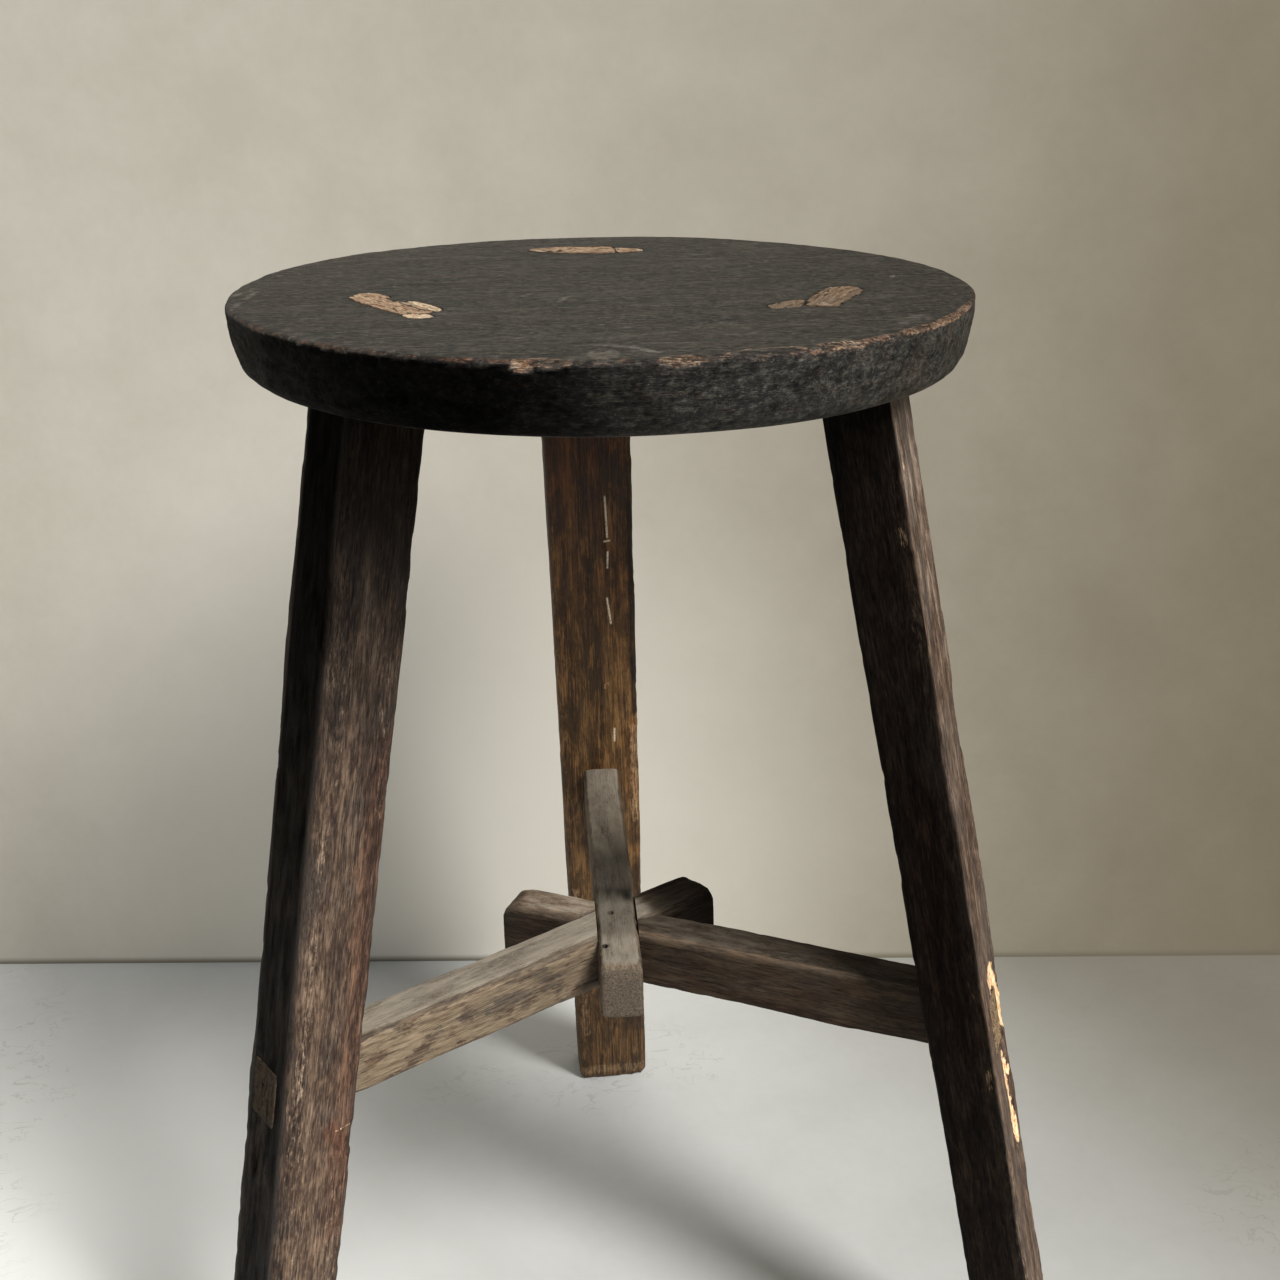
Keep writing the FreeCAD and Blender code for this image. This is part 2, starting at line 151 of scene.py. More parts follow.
def mesh_from(name, V, quads, tris):
    """Mesh object from arrays, outward facing, in metres."""
    V = np.asarray(V, float)
    quads = np.asarray(quads, np.int64).reshape(-1, 4)
    tris = np.asarray(tris, np.int64).reshape(-1, 3)
    T = np.concatenate([quads[:, [0, 1, 2]], quads[:, [0, 2, 3]], tris])
    vol = np.einsum("ij,ij->i", V[T[:, 0]], np.cross(V[T[:, 1]], V[T[:, 2]])).sum()
    if vol < 0:
        quads, tris = quads[:, ::-1], tris[:, ::-1]
    me = bpy.data.meshes.new(name)
    me.vertices.add(len(V))
    me.vertices.foreach_set("co", (V * MM).astype(np.float32).ravel())
    loops = np.concatenate([quads.ravel(), tris.ravel()]).astype(np.int32)
    me.loops.add(len(loops))
    me.loops.foreach_set("vertex_index", loops)
    nq, nt = len(quads), len(tris)
    me.polygons.add(nq + nt)
    start = np.concatenate([np.arange(nq) * 4, nq * 4 + np.arange(nt) * 3]).astype(np.int32)
    me.polygons.foreach_set("loop_start", start)
    me.update(calc_edges=True)
    me.validate()
    ob = bpy.data.objects.new(name, me)
    bpy.context.scene.collection.objects.link(ob)
    return ob


def lofted(name, rings, caps=(9, 9), cap_fn=None):
    """Closed solid through a list of equal rings; both ends are closed by
    shrinking rings and a centre point.  cap_fn(which, points, t) may move them."""
    rings = [np.asarray(r, float) for r in rings]
    M = len(rings[0])

    def cap(ring, n, which):
        c = ring.mean(0)
        out = []
        for s in np.linspace(0, 1, n + 1)[1:-1]:
            t = s ** 0.85
            pts = c + (ring - c) * t
            out.append(cap_fn(which, pts, t) if cap_fn else pts)
        centre = cap_fn(which, c[None, :], 0.0)[0] if cap_fn else c
        return centre, out
    c0, in0 = cap(rings[0], caps[0], 0)
    c1, in1 = cap(rings[-1], caps[1], 1)
    allr = in0 + rings + in1[::-1]
    V = np.concatenate([np.concatenate(allr), [c0], [c1]])
    quads = grid_faces(len(allr), M)
    i0, i1 = len(V) - 2, len(V) - 1
    k = np.arange(M)
    k2 = (k + 1) % M
    last = (len(allr) - 1) * M
    tris = np.concatenate([np.stack([k2, k, np.full(M, i0)], 1),
                           np.stack([last + k, last + k2, np.full(M, i1)], 1)])
    return mesh_from(name, V, quads, tris)


def prism(name, low, high):
    """Closed solid between two equal outlines, each end one face."""
    n = len(low)
    me = bpy.data.meshes.new(name)
    verts = [tuple(p) for p in np.concatenate([low, high]) * MM]
    faces = [(i, (i + 1) % n, n + (i + 1) % n, n + i) for i in range(n)]
    me.from_pydata(verts, [], faces + [tuple(range(n - 1, -1, -1)), tuple(range(n, 2 * n))])
    bm = bmesh.new()
    bm.from_mesh(me)
    if bm.calc_volume(signed=True) < 0:
        bmesh.ops.reverse_faces(bm, faces=bm.faces)
    bm.to_mesh(me)
    bm.free()
    ob = bpy.data.objects.new(name, me)
    bpy.context.scene.collection.objects.link(ob)
    return ob


def boolean(ob, tools, op="DIFFERENCE"):
    for t in tools:
        m = ob.modifiers.new("cut", "BOOLEAN")
        m.operation, m.solver, m.object = op, "EXACT", t
        dg = bpy.context.evaluated_depsgraph_get()
        me = bpy.data.meshes.new_from_object(ob.evaluated_get(dg))
        ob.modifiers.clear()
        old = ob.data
        ob.data = me
        me.name = ob.name
        bpy.data.meshes.remove(old)
    for t in tools:
        me = t.data
        bpy.data.objects.remove(t)
        bpy.data.meshes.remove(me)


def coords(ob):
    co = np.zeros(len(ob.data.vertices) * 3, np.float32)
    ob.data.vertices.foreach_get("co", co)
    return co.reshape(-1, 3).astype(float) / MM


def put_attr(ob, gco, **sets):
    """Grain coordinates (mm) and colour-type masks as point attributes."""
    me = ob.data
    n = len(me.vertices)
    a = me.attributes.new("gco", "FLOAT_VECTOR", "POINT")
    a.data.foreach_set("vector", np.asarray(gco, np.float32).ravel())
    for name, cols in sets.items():
        a = me.attributes.new(name, "FLOAT_COLOR", "POINT")
        buf = np.ones((n, 4), np.float32)
        for i, c in enumerate(cols):
            buf[:, i] = np.clip(c, 0, 1)
        a.data.foreach_set("color", buf.ravel())


def finish_piece(ob, nodes, mat, angle=50):
    me = ob.data
    me.materials.clear()
    me.materials.append(mat)
    me.polygons.foreach_set("use_smooth", np.ones(len(me.polygons), bool))
    # sharp edges where faces meet at a strong angle, so that cuts stay crisp
    bm = bmesh.new()
    bm.from_mesh(me)
    lim = math.radians(angle)
    bad = 0
    for e in bm.edges:
        if len(e.link_faces) != 2:
            bad += 1
        elif e.calc_face_angle(0.0) > lim:
            e.smooth = False
    bm.to_mesh(me)
    bm.free()
    tri = sum(len(p.vertices) - 2 for p in me.polygons)
    print("piece %-34s triangles %7d  open edges %d" % (ob.name, tri, bad))
    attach(ob, "root")
    if nodes:
        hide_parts(*nodes)


# -------------------------------------------------------------- materials
def lin(r, g, b):
    def f(v):
        v /= 255.0
        return v / 12.92 if v <= 0.04045 else ((v + 0.055) / 1.055) ** 2.4
    return (f(r), f(g), f(b), 1.0)


class Nodes:
    """Short names for building a shader tree."""

    def __init__(self, mat):
        mat.use_nodes = True
        self.nt = mat.node_tree
        self.nt.nodes.clear()

    def node(self, kind, **kw):
        n = self.nt.nodes.new(kind)
        for k, v in kw.items():
            setattr(n, k, v)
        return n

    def put(self, sock, v):
        if isinstance(v, bpy.types.NodeSocket):
            self.nt.links.new(v, sock)
        elif isinstance(v, (int, float)):
            sock.default_value = v
        else:
            sock.default_value = tuple(v) if len(sock.default_value) == len(v) else tuple(v)[:len(sock.default_value)]

    def m(self, op, a, b=0.0, c=0.0, clamp=False):
        n = self.node("ShaderNodeMath", operation=op, use_clamp=clamp)
        for s, v in zip(n.inputs, (a, b, c)):
            self.put(s, v)
        return n.outputs[0]

    def ss(self, x, e0, e1, o0=0.0, o1=1.0):
        n = self.node("ShaderNodeMapRange", interpolation_type="SMOOTHSTEP")
        for i, v in enumerate((x, e0, e1, o0, o1)):
            self.put(n.inputs[i], v)
        return n.outputs[0]

    def mix(self, f, a, b, blend="MIX"):
        n = self.node("ShaderNodeMix", data_type="RGBA", blend_type=blend, clamp_factor=True)
        self.put(n.inputs[0], f)
        self.put(n.inputs[6], a)
        self.put(n.inputs[7], b)
        return n.outputs[2]

    def ramp(self, f, stops):
        n = self.node("ShaderNodeValToRGB")
        el = n.color_ramp.elements
        while len(el) < len(stops):
            el.new(0.5)
        for e, (p, c) in zip(el, stops):
            e.position, e.color = p, c
        self.put(n.inputs[0], f)
        return n.outputs[0]

    def scaled(self, vec, s, seed=0.0):
        n = self.node("ShaderNodeVectorMath", operation="MULTIPLY_ADD")
        self.put(n.inputs[0], vec)
        n.inputs[1].default_value = s
        n.inputs[2].default_value = (seed * 3.1, seed * 1.7, seed * 2.3)
        return n.outputs[0]

    def noise(self, vec, s, detail=3.0, rough=0.55, dist=0.0, seed=0.0):
        n = self.node("ShaderNodeTexNoise")
        self.put(n.inputs["Vector"], self.scaled(vec, s, seed))
        n.inputs["Scale"].default_value = 1.0
        n.inputs["Detail"].default_value = detail
        n.inputs["Roughness"].default_value = rough
        n.inputs["Distortion"].default_value = dist
        return n.outputs[0]

    def voronoi(self, vec, s, feature="F1", seed=0.0, rand=1.0):
        n = self.node("ShaderNodeTexVoronoi", feature=feature)
        self.put(n.inputs["Vector"], self.scaled(vec, s, seed))
        n.inputs["Scale"].default_value = 1.0
        n.inputs["Randomness"].default_value = rand
        return n.outputs[0]

    def attr(self, name):
        return self.node("ShaderNodeAttribute", attribute_name=name)

    def sep(self, sock, kind="ShaderNodeSeparateColor"):
        n = self.node(kind)
        self.put(n.inputs[0], sock)
        return n.outputs

    def dash(self, u, z, u0, z0, u1, z1, w):
        """1 on a short straight scratch from (u0, z0) to (u1, z1), w half wide."""
        length = math.hypot(u1 - u0, z1 - z0)
        du, dz = (u1 - u0) / length, (z1 - z0) / length
        a, b = self.m("SUBTRACT", u, u0), self.m("SUBTRACT", z, z0)
        along = self.m("ADD", self.m("MULTIPLY", a, du), self.m("MULTIPLY", b, dz))
        across = self.m("ABSOLUTE", self.m("SUBTRACT", self.m("MULTIPLY", a, dz), self.m("MULTIPLY", b, du)))
        ends = self.m("MULTIPLY", self.ss(along, -0.5, 0.8), self.ss(along, length + 0.5, length - 0.8))
        return self.m("MULTIPLY", ends, self.ss(across, w * 1.3, w * 0.5))


def wood(name, dark, mid, light, grey, worn, chip, dust=(150, 142, 128), rough=(0.55, 0.85),
         spec=0.35, fig=0.22, fine=1.0, grey_amt=0.5, fleck=0.5, wear_k=0.55, bump=0.5,
         crack=0.6, streak=0.05, tan=None, tan_amt=0.0, extra=None, seed=0.0, sheen=0.0):
    """Old stained wood.  Colours are sRGB 0-255.  Masks on the mesh say where
    it is worn, broken open, dirty or in painted shade, dusty or painted lighter,
    end grain, or warm, and give a darkening factor that mixes the wood's own
    variation with painted shade and painted light."""
    mat = bpy.data.materials.new(name)
    S = Nodes(mat)
    g = S.attr("gco").outputs["Vector"]
    ma = S.sep(S.attr("ma").outputs["Color"])
    mb = S.sep(S.attr("mb").outputs["Color"])
    mc = S.sep(S.attr("mc").outputs["Color"])
    wear, broke, dirt_and_shade = ma[0], ma[1], ma[2]
    dust_and_light, endg, warm = mb[0], mb[1], mb[2]
    # mc is a darkening factor: partly the wood's own variation, mostly painted shade and painted light set per face and
    # height
    tone_and_shading = mc[0]
    # grain: broad figure, fibres, fine fibres, pores, patches, flecks
    figure = S.noise(g, (fig, fig, 0.007), 4, 0.6, 0.35, seed)
    fibre = S.noise(g, (1.15 * fine, 1.15 * fine, streak), 4, 0.6, 0.2, seed + 3)
    hair = S.noise(g, (4.2 * fine, 4.2 * fine, 0.13), 2, 0.6, 0.0, seed + 5)
    pore = S.noise(g, (1.9 * fine, 1.9 * fine, 0.05), 3, 0.65, 0.1, seed + 8)
    patch = S.noise(g, (0.045, 0.045, 0.022), 4, 0.6, 0.6, seed + 11)
    cloud = S.noise(g, (0.16, 0.16, 0.05), 5, 0.65, 0.4, seed + 14)
    grit = S.noise(g, (1.5, 1.5, 0.8), 3, 0.6, 0.0, seed + 17)
    speck = S.noise(g, (0.75, 0.75, 0.30), 4, 0.75, 0.0, seed + 20)
    # base stain
    k = S.m("ADD", S.m("MULTIPLY", figure, 0.30), S.m("MULTIPLY", fibre, 0.30))
    k = S.m("ADD", k, S.m("MULTIPLY", S.m("ADD", cloud, speck), 0.20))
    k = S.m("ADD", k, S.m("MULTIPLY", S.m("SUBTRACT", hair, 0.5), 0.30))
    col = S.ramp(k, [(0.40, lin(*dark)), (0.50, lin(*mid)), (0.62, lin(*light))])
    # greyed, dirty patches
    f = S.m("MULTIPLY", S.ss(S.m("ADD", patch, S.m("MULTIPLY", S.m("SUBTRACT", fibre, 0.5), 0.5)), 0.46, 0.66), grey_amt)
    col = S.mix(f, col, lin(*grey))
    # tan patches where the stain has gone thin
    if tan:
        f = S.m("ADD", cloud, S.m("MULTIPLY", S.m("SUBTRACT", fibre, 0.5), 0.9))
        col = S.mix(S.m("MULTIPLY", S.ss(f, 0.50, 0.68), tan_amt), col, lin(*tan))
    # pale flecks along the grain
    f = S.m("MULTIPLY", S.ss(S.m("ADD", pore, S.m("MULTIPLY", S.m("SUBTRACT", cloud, 0.5), 0.6)), 0.60, 0.72), fleck)
    col = S.mix(f, col, lin(*dust))
    # warm tint
    wcol = S.mix(0.65, col, lin(150, 84, 40), "OVERLAY")
    col = S.mix(warm, col, wcol)
    # worn wood
    f = S.m("ADD", wear, S.m("MULTIPLY", S.m("SUBTRACT", pore, 0.5), 0.9))
    f = S.m("ADD", f, S.m("MULTIPLY", S.m("SUBTRACT", speck, 0.5), 1.5))
    f = S.ss(f, wear_k - 0.14, wear_k + 0.20)
    f = S.m("MULTIPLY", f, S.ss(wear, 0.02, 0.25))
    f = S.m("MULTIPLY", f, 0.85)
    wk = S.m("ADD", S.m("MULTIPLY", fibre, 0.6), S.m("MULTIPLY", hair, 0.4))
    wornc = S.ramp(wk, [(0.38, lin(*worn[0])), (0.50, lin(*worn[1])), (0.64, lin(*worn[2]))])
    col = S.mix(f, col, wornc)
    # broken, fresh wood
    split = S.noise(g, (1.3, 1.3, 0.16), 4, 0.7, 0.3, seed + 33)
    f2 = S.m("ADD", broke, S.m("MULTIPLY", S.m("SUBTRACT", grit, 0.5), 0.5))
    f2 = S.m("ADD", f2, S.m("MULTIPLY", S.m("SUBTRACT", split, 0.5), 1.5))
    f2 = S.m("MULTIPLY", S.ss(f2, 0.40, 0.62), S.ss(broke, 0.04, 0.2))
    chipc = S.ramp(S.m("ADD", S.m("MULTIPLY", split, 0.5), S.m("MULTIPLY", hair, 0.5)),
                   [(0.38, lin(*chip[0])), (0.50, lin(*chip[1])), (0.62, lin(*chip[2]))])
    col = S.mix(f2, col, chipc)
    # end grain: short flecks instead of long fibres
    eg = S.noise(g, (1.4, 1.4, 1.4), 4, 0.7, 0.0, seed + 23)
    egc = S.ramp(eg, [(0.32, lin(52, 44, 36)), (0.50, lin(104, 92, 78)), (0.68, lin(142, 126, 106))])
    col = S.mix(S.m("MULTIPLY", endg, 0.8), col, egc)
    # dust lies mostly on what faces up; the same mask also lightens some faces as painted light
    f3 = S.m("ADD", dust_and_light, S.m("MULTIPLY", S.m("SUBTRACT", cloud, 0.5), 1.2))
    f3 = S.m("ADD", f3, S.m("MULTIPLY", S.m("SUBTRACT", grit, 0.5), 0.5))
    f3 = S.m("MULTIPLY", S.ss(f3, 0.30, 0.95), S.ss(dust_and_light, 0.0, 0.2))
    col = S.mix(S.m("MULTIPLY", f3, 0.85), col, lin(*dust))
    # cracks along the grain
    cr = S.noise(g, (0.85, 0.85, 0.012), 3, 0.7, 0.15, seed + 29)
    crf = S.m("MULTIPLY", S.ss(S.m("ABSOLUTE", S.m("SUBTRACT", cr, 0.5)), 0.014, 0.004), S.ss(patch, 0.44, 0.60))
    crf = S.m("MULTIPLY", crf, crack)
    col = S.mix(crf, col, lin(12, 9, 7))
    vals = dict(S=S, g=g, fibre=fibre, hair=hair, pore=pore, patch=patch, cloud=cloud,
                grit=grit, speck=speck, figure=figure, broke=f2)
    if extra:
        col = extra(col, vals)
    # grime and painted shade from the ma mask, then the darkening factor, which carries painted shade and painted light
    col = S.mix(S.m("MULTIPLY", dirt_and_shade, 0.97), col, lin(9, 7, 5))
    t2 = S.m("MULTIPLY", tone_and_shading, 2.0)
    comb = S.node("ShaderNodeCombineColor")
    for i in range(3):
        S.put(comb.inputs[i], t2)
    col = S.mix(1.0, col, comb.outputs[0], "MULTIPLY")
    bs = S.node("ShaderNodeBsdfPrincipled")
    S.put(bs.inputs["Base Color"], col)
    r = S.m("ADD", S.m("MULTIPLY", cloud, 0.35), S.m("MULTIPLY", fibre, 0.35))
    r = S.m("ADD", r, S.m("MULTIPLY", grit, 0.30))
    r = S.ss(r, 0.30, 0.70, rough[0], rough[1])
    r = S.m("MAXIMUM", r, S.m("MULTIPLY", f2, 0.8))
    r = S.m("MAXIMUM", r, S.m("MULTIPLY", f3, 0.95))
    S.put(bs.inputs["Roughness"], r)
    # specular follows the mc factor, so areas of painted shade also lose their highlight
    S.put(bs.inputs["Specular IOR Level"], S.m("MULTIPLY", S.m("MINIMUM", t2, 1.0), spec))
    if sheen:
        S.put(bs.inputs["Sheen Weight"], sheen)
        S.put(bs.inputs["Sheen Roughness"], 0.5)
    # relief
    h = S.m("ADD", S.m("MULTIPLY", fibre, 0.55), S.m("MULTIPLY", hair, 0.25))
    h = S.m("ADD", h, S.m("MULTIPLY", S.ss(pore, 0.42, 0.30), -0.35))
    h = S.m("ADD", h, S.m("MULTIPLY", grit, 0.22))
    h = S.m("ADD", h, S.m("MULTIPLY", crf, -1.2))
    h = S.m("ADD", h, S.m("MULTIPLY", S.m("MULTIPLY", f2, hair), 0.5))
    bp = S.node("ShaderNodeBump")
    bp.inputs["Strength"].default_value = bump
    bp.inputs["Distance"].default_value = 0.0009
    S.put(bp.inputs["Height"], h)
    S.nt.links.new(bp.outputs[0], bs.inputs["Normal"])
    out = S.node("ShaderNodeOutputMaterial")
    S.nt.links.new(bs.outputs[0], out.inputs[0])
    return mat


# ------------------------------------------------------------------- legs
def axes(az):
    t = math.radians(az)
    return np.array([math.cos(t), math.sin(t)]), np.array([-math.sin(t), math.cos(t)])


def leg_half(L, z):
    t = (Z_LOW - z) / Z_LOW
    return (L["hd"] + (L["fd"] - L["hd"]) * t) / 2, (L["hw"] + (L["fw"] - L["hw"]) * t) / 2


def leg_world(L, a, b, z):
    a, b, z = np.broadcast_arrays(a, b, z)
    t = (Z_LOW - z) / Z_LOW
    q = math.radians(L["turn"])
    x = L["hr"] + (L["fr"] - L["hr"]) * t + a * math.cos(q) - b * math.sin(q)
    y = L["hs"] + (L["fs"] - L["hs"]) * t + a * math.sin(q) + b * math.cos(q)
    e, g = axes(L["az"])
    return np.stack([AX + x * e[0] + y * g[0], AY + x * e[1] + y * g[1], z], -1)


def leg_local(L, P):
    z = P[..., 2]
    t = (Z_LOW - z) / Z_LOW
    e, g = axes(L["az"])
    dx, dy = P[..., 0] - AX, P[..., 1] - AY
    x = dx * e[0] + dy * e[1] - (L["hr"] + (L["fr"] - L["hr"]) * t)
    y = dx * g[0] + dy * g[1] - (L["hs"] + (L["fs"] - L["hs"]) * t)
    q = math.radians(L["turn"])
    return x * math.cos(q) + y * math.sin(q), -x * math.sin(q) + y * math.cos(q), z


def rounded(A, B, rc, nC, nA, nB, flat=0.35):
    """Rounded rectangle, anticlockwise from the +x side.  A, B are half sizes
    (R,), rc the four corner sizes (4, R).  Returns points and normals
    (R, M, 2).  flat pulls a corner's arc towards a plain chamfer."""
    R = len(A)
    P, Nn = [], []
    sgn = [(1, 1), (-1, 1), (-1, -1), (1, -1)]

    def side(p0, p1, n, k):
        for s in (np.arange(k) + 0.5) / k:
            P.append(p0 + (p1 - p0) * s)
            Nn.append(np.broadcast_to(np.array(n, float), (R, 2)))

    def corner(i):
        cx, cy = sgn[i][0] * (A - rc[i]), sgn[i][1] * (B - rc[i])
        s0 = np.array([(0, 90, 180, 270)[i]])
        e0 = np.stack([cx + rc[i] * math.cos(math.radians(s0[0])), cy + rc[i] * math.sin(math.radians(s0[0]))], 1)
        e1 = np.stack([cx + rc[i] * math.cos(math.radians(s0[0] + 90)), cy + rc[i] * math.sin(math.radians(s0[0] + 90))], 1)
        for k in range(nC):
            u = k / (nC - 1)
            t = math.radians(s0[0] + 90 * u)
            arc = np.stack([cx + rc[i] * math.cos(t), cy + rc[i] * math.sin(t)], 1)
            line = e0 + (e1 - e0) * u
            P.append(arc * (1 - flat) + line * flat)
            Nn.append(np.broadcast_to(np.array([math.cos(t), math.sin(t)]), (R, 2)))
        return e0, e1

    def pt(i, which):
        cx, cy = sgn[i][0] * (A - rc[i]), sgn[i][1] * (B - rc[i])
        t = math.radians((0, 90, 180, 270)[i] + (90 if which else 0))
        return np.stack([cx + rc[i] * math.cos(t), cy + rc[i] * math.sin(t)], 1)

    side(pt(3, 1), pt(0, 0), (1, 0), nB)
    corner(0)
    side(pt(0, 1), pt(1, 0), (0, 1), nA)
    corner(1)
    side(pt(1, 1), pt(2, 0), (-1, 0), nB)
    corner(2)
    side(pt(2, 1), pt(3, 0), (0, -1), nA)
    corner(3)
    return np.stack(P, 1), np.stack([np.array(n) for n in Nn], 1)


# where the legs are torn, chipped or gouged: face, centre (u, z), half sizes,
# depth.  u runs across the face: tangential on out/in, radial on ccw/cw.
GOUGES = {
    "fl": [("ccw", -12, 188, 7, 8, 1.5), ("out", -4, 184, 6, 15, 0.8),
           ("ccw", 9, 352, 4, 12, 0.9), ("ccw", 13, 262, 4, 20, 1.0),
           ("out", 15, 415, 5, 16, 1.2), ("out", 17, 300, 4, 14, 1.1),
           ("out", 16, 232, 4, 20, 1.1), ("ccw", 3, 420, 3, 16, 0.5),
           ("ccw", 14, 150, 3, 26, 0.8), ("out", -19, 350, 3, 22, 0.9)],
    "fr": [("out", 8, 221, 11, 18, 2.0), ("out", 18, 198, 4, 16, 1.6),
           ("out", 7, 192, 5, 7, 1.5), ("out", 7, 170, 4, 18, 1.7),
           ("out", -9, 463, 3, 5, 0.8), ("out", -18, 437, 3, 7, 0.9),
           ("cw", 10, 200, 3, 9, 0.7), ("out", -17, 330, 3, 22, 0.8),
           ("out", 15, 345, 4, 26, 0.7), ("out", -2, 388, 3, 16, 0.5),
           ("out", -16, 120, 4, 26, 0.9)],
    "bk": [("in", -7, 5, 5, 6, 1.0), ("in", -19, 3, 6, 8, 2.2), ("in", 19, 330, 2.5, 30, 0.8),
           ("in", -18, 268, 4, 5, 0.8), ("in", 10, 60, 4, 14, 0.5), ("out", 6, 222, 13, 15, 0.7)],
}


def face_uv(face, a, b, A, B):
    """(u across the face, distance in from the face)."""
    if face == "out":
        return b, A - a
    if face == "in":
        return b, A + a
    if face == "ccw":
        return a, B - b
    return a, B + b


def build_leg(key):
    L = LEGS[key]
    sd = {"fl": 0.0, "fr": 40.0, "bk": 80.0}[key]
    z = np.concatenate([[0.0, 0.6, 1.4], np.arange(2.4, 496.0, 1.5), [496.9]])
    A, B = leg_half(L, np.minimum(z, 496))
    worn = {"fl": (5.2, 3.0, 2.6, 3.4), "fr": (3.6, 2.8, 3.0, 4.6), "bk": (2.6, 2.4, 2.2, 2.6)}[key]
    rc = []
    for i, r0 in enumerate(worn):
        r = r0 * (1 + 0.45 * fbm(z / 47 + sd, np.full_like(z, i * 7.7), 0 * z, 2))
        r = r + 0.8 * np.maximum(0, pnoise(z / 11 + sd, np.full_like(z, i * 5.1), 0 * z))
        rc.append(np.clip(r, 1.2, 8.0))
    rc = np.array(rc)
    nC, nA, nB = 8, 20, 29
    P, N = rounded(A, B, rc, nC, nA, nB, 0.45)
    a, b = P[..., 0], P[..., 1]
    zz = np.broadcast_to(z[:, None], a.shape)
    AA, BB = A[:, None], B[:, None]
    # a straight tree never is: slight bow, planed hollows, grain ridges
    d = 0.45 * fbm(a / 26 + sd, b / 26, zz / 130, 2)
    d = d + 0.22 * fbm(a / 7 + sd, b / 7 + 3, zz / 42, 3)
    d = d + 0.12 * fbm(a / 1.6 + 5, b / 1.6 + sd, zz / 34, 2)
    near = (AA - np.abs(a)) + (BB - np.abs(b))
    edge = smooth(9, 2, near)
    d = d - edge * 0.9 * np.maximum(0, fbm(a / 6 + sd, b / 6, zz / 15 + 2, 3))
    for face, u0, z0, hu, hz, dep in GOUGES[key]:
        u, inn = face_uv(face, a, b, AA, BB)
        q = ((u - u0) / hu) ** 2 + ((zz - z0) / hz) ** 2 + 0.5 * fbm(u / 2.4, zz / 7 + u0, 0 * zz + sd, 2)
        prof = np.clip(1 - q, 0, 1) ** 0.45
        prof = prof * (0.8 + 0.5 * pnoise(u / 0.9, zz / 12, 0 * zz + z0))
        d = d - dep * prof * smooth(5.5, 3.0, inn)
    # rounded, trodden lower end
    foot = np.clip((3.2 - zz) / 3.2, 0, 1)
    d = d - (1.6 + 0.8 * pnoise(a / 6, b / 6, 0 * zz + sd)) * foot ** 2
    a2, b2 = a + N[..., 0] * d, b + N[..., 1] * d
    W = leg_world(L, a2, b2, zz)

    def cap(which, pts, t):
        if which == 0:
            pts = pts.copy()
            pts[:, 2] = 0.0 + 0.35 * np.maximum(0, fbm(pts[:, 0] / 5, pts[:, 1] / 5, pts[:, 2] * 0 + sd, 2)) * (1 - t)
        return pts
    ob = lofted(L["node"] + "_shaft", list(W), (10, 8), cap)
    return ob


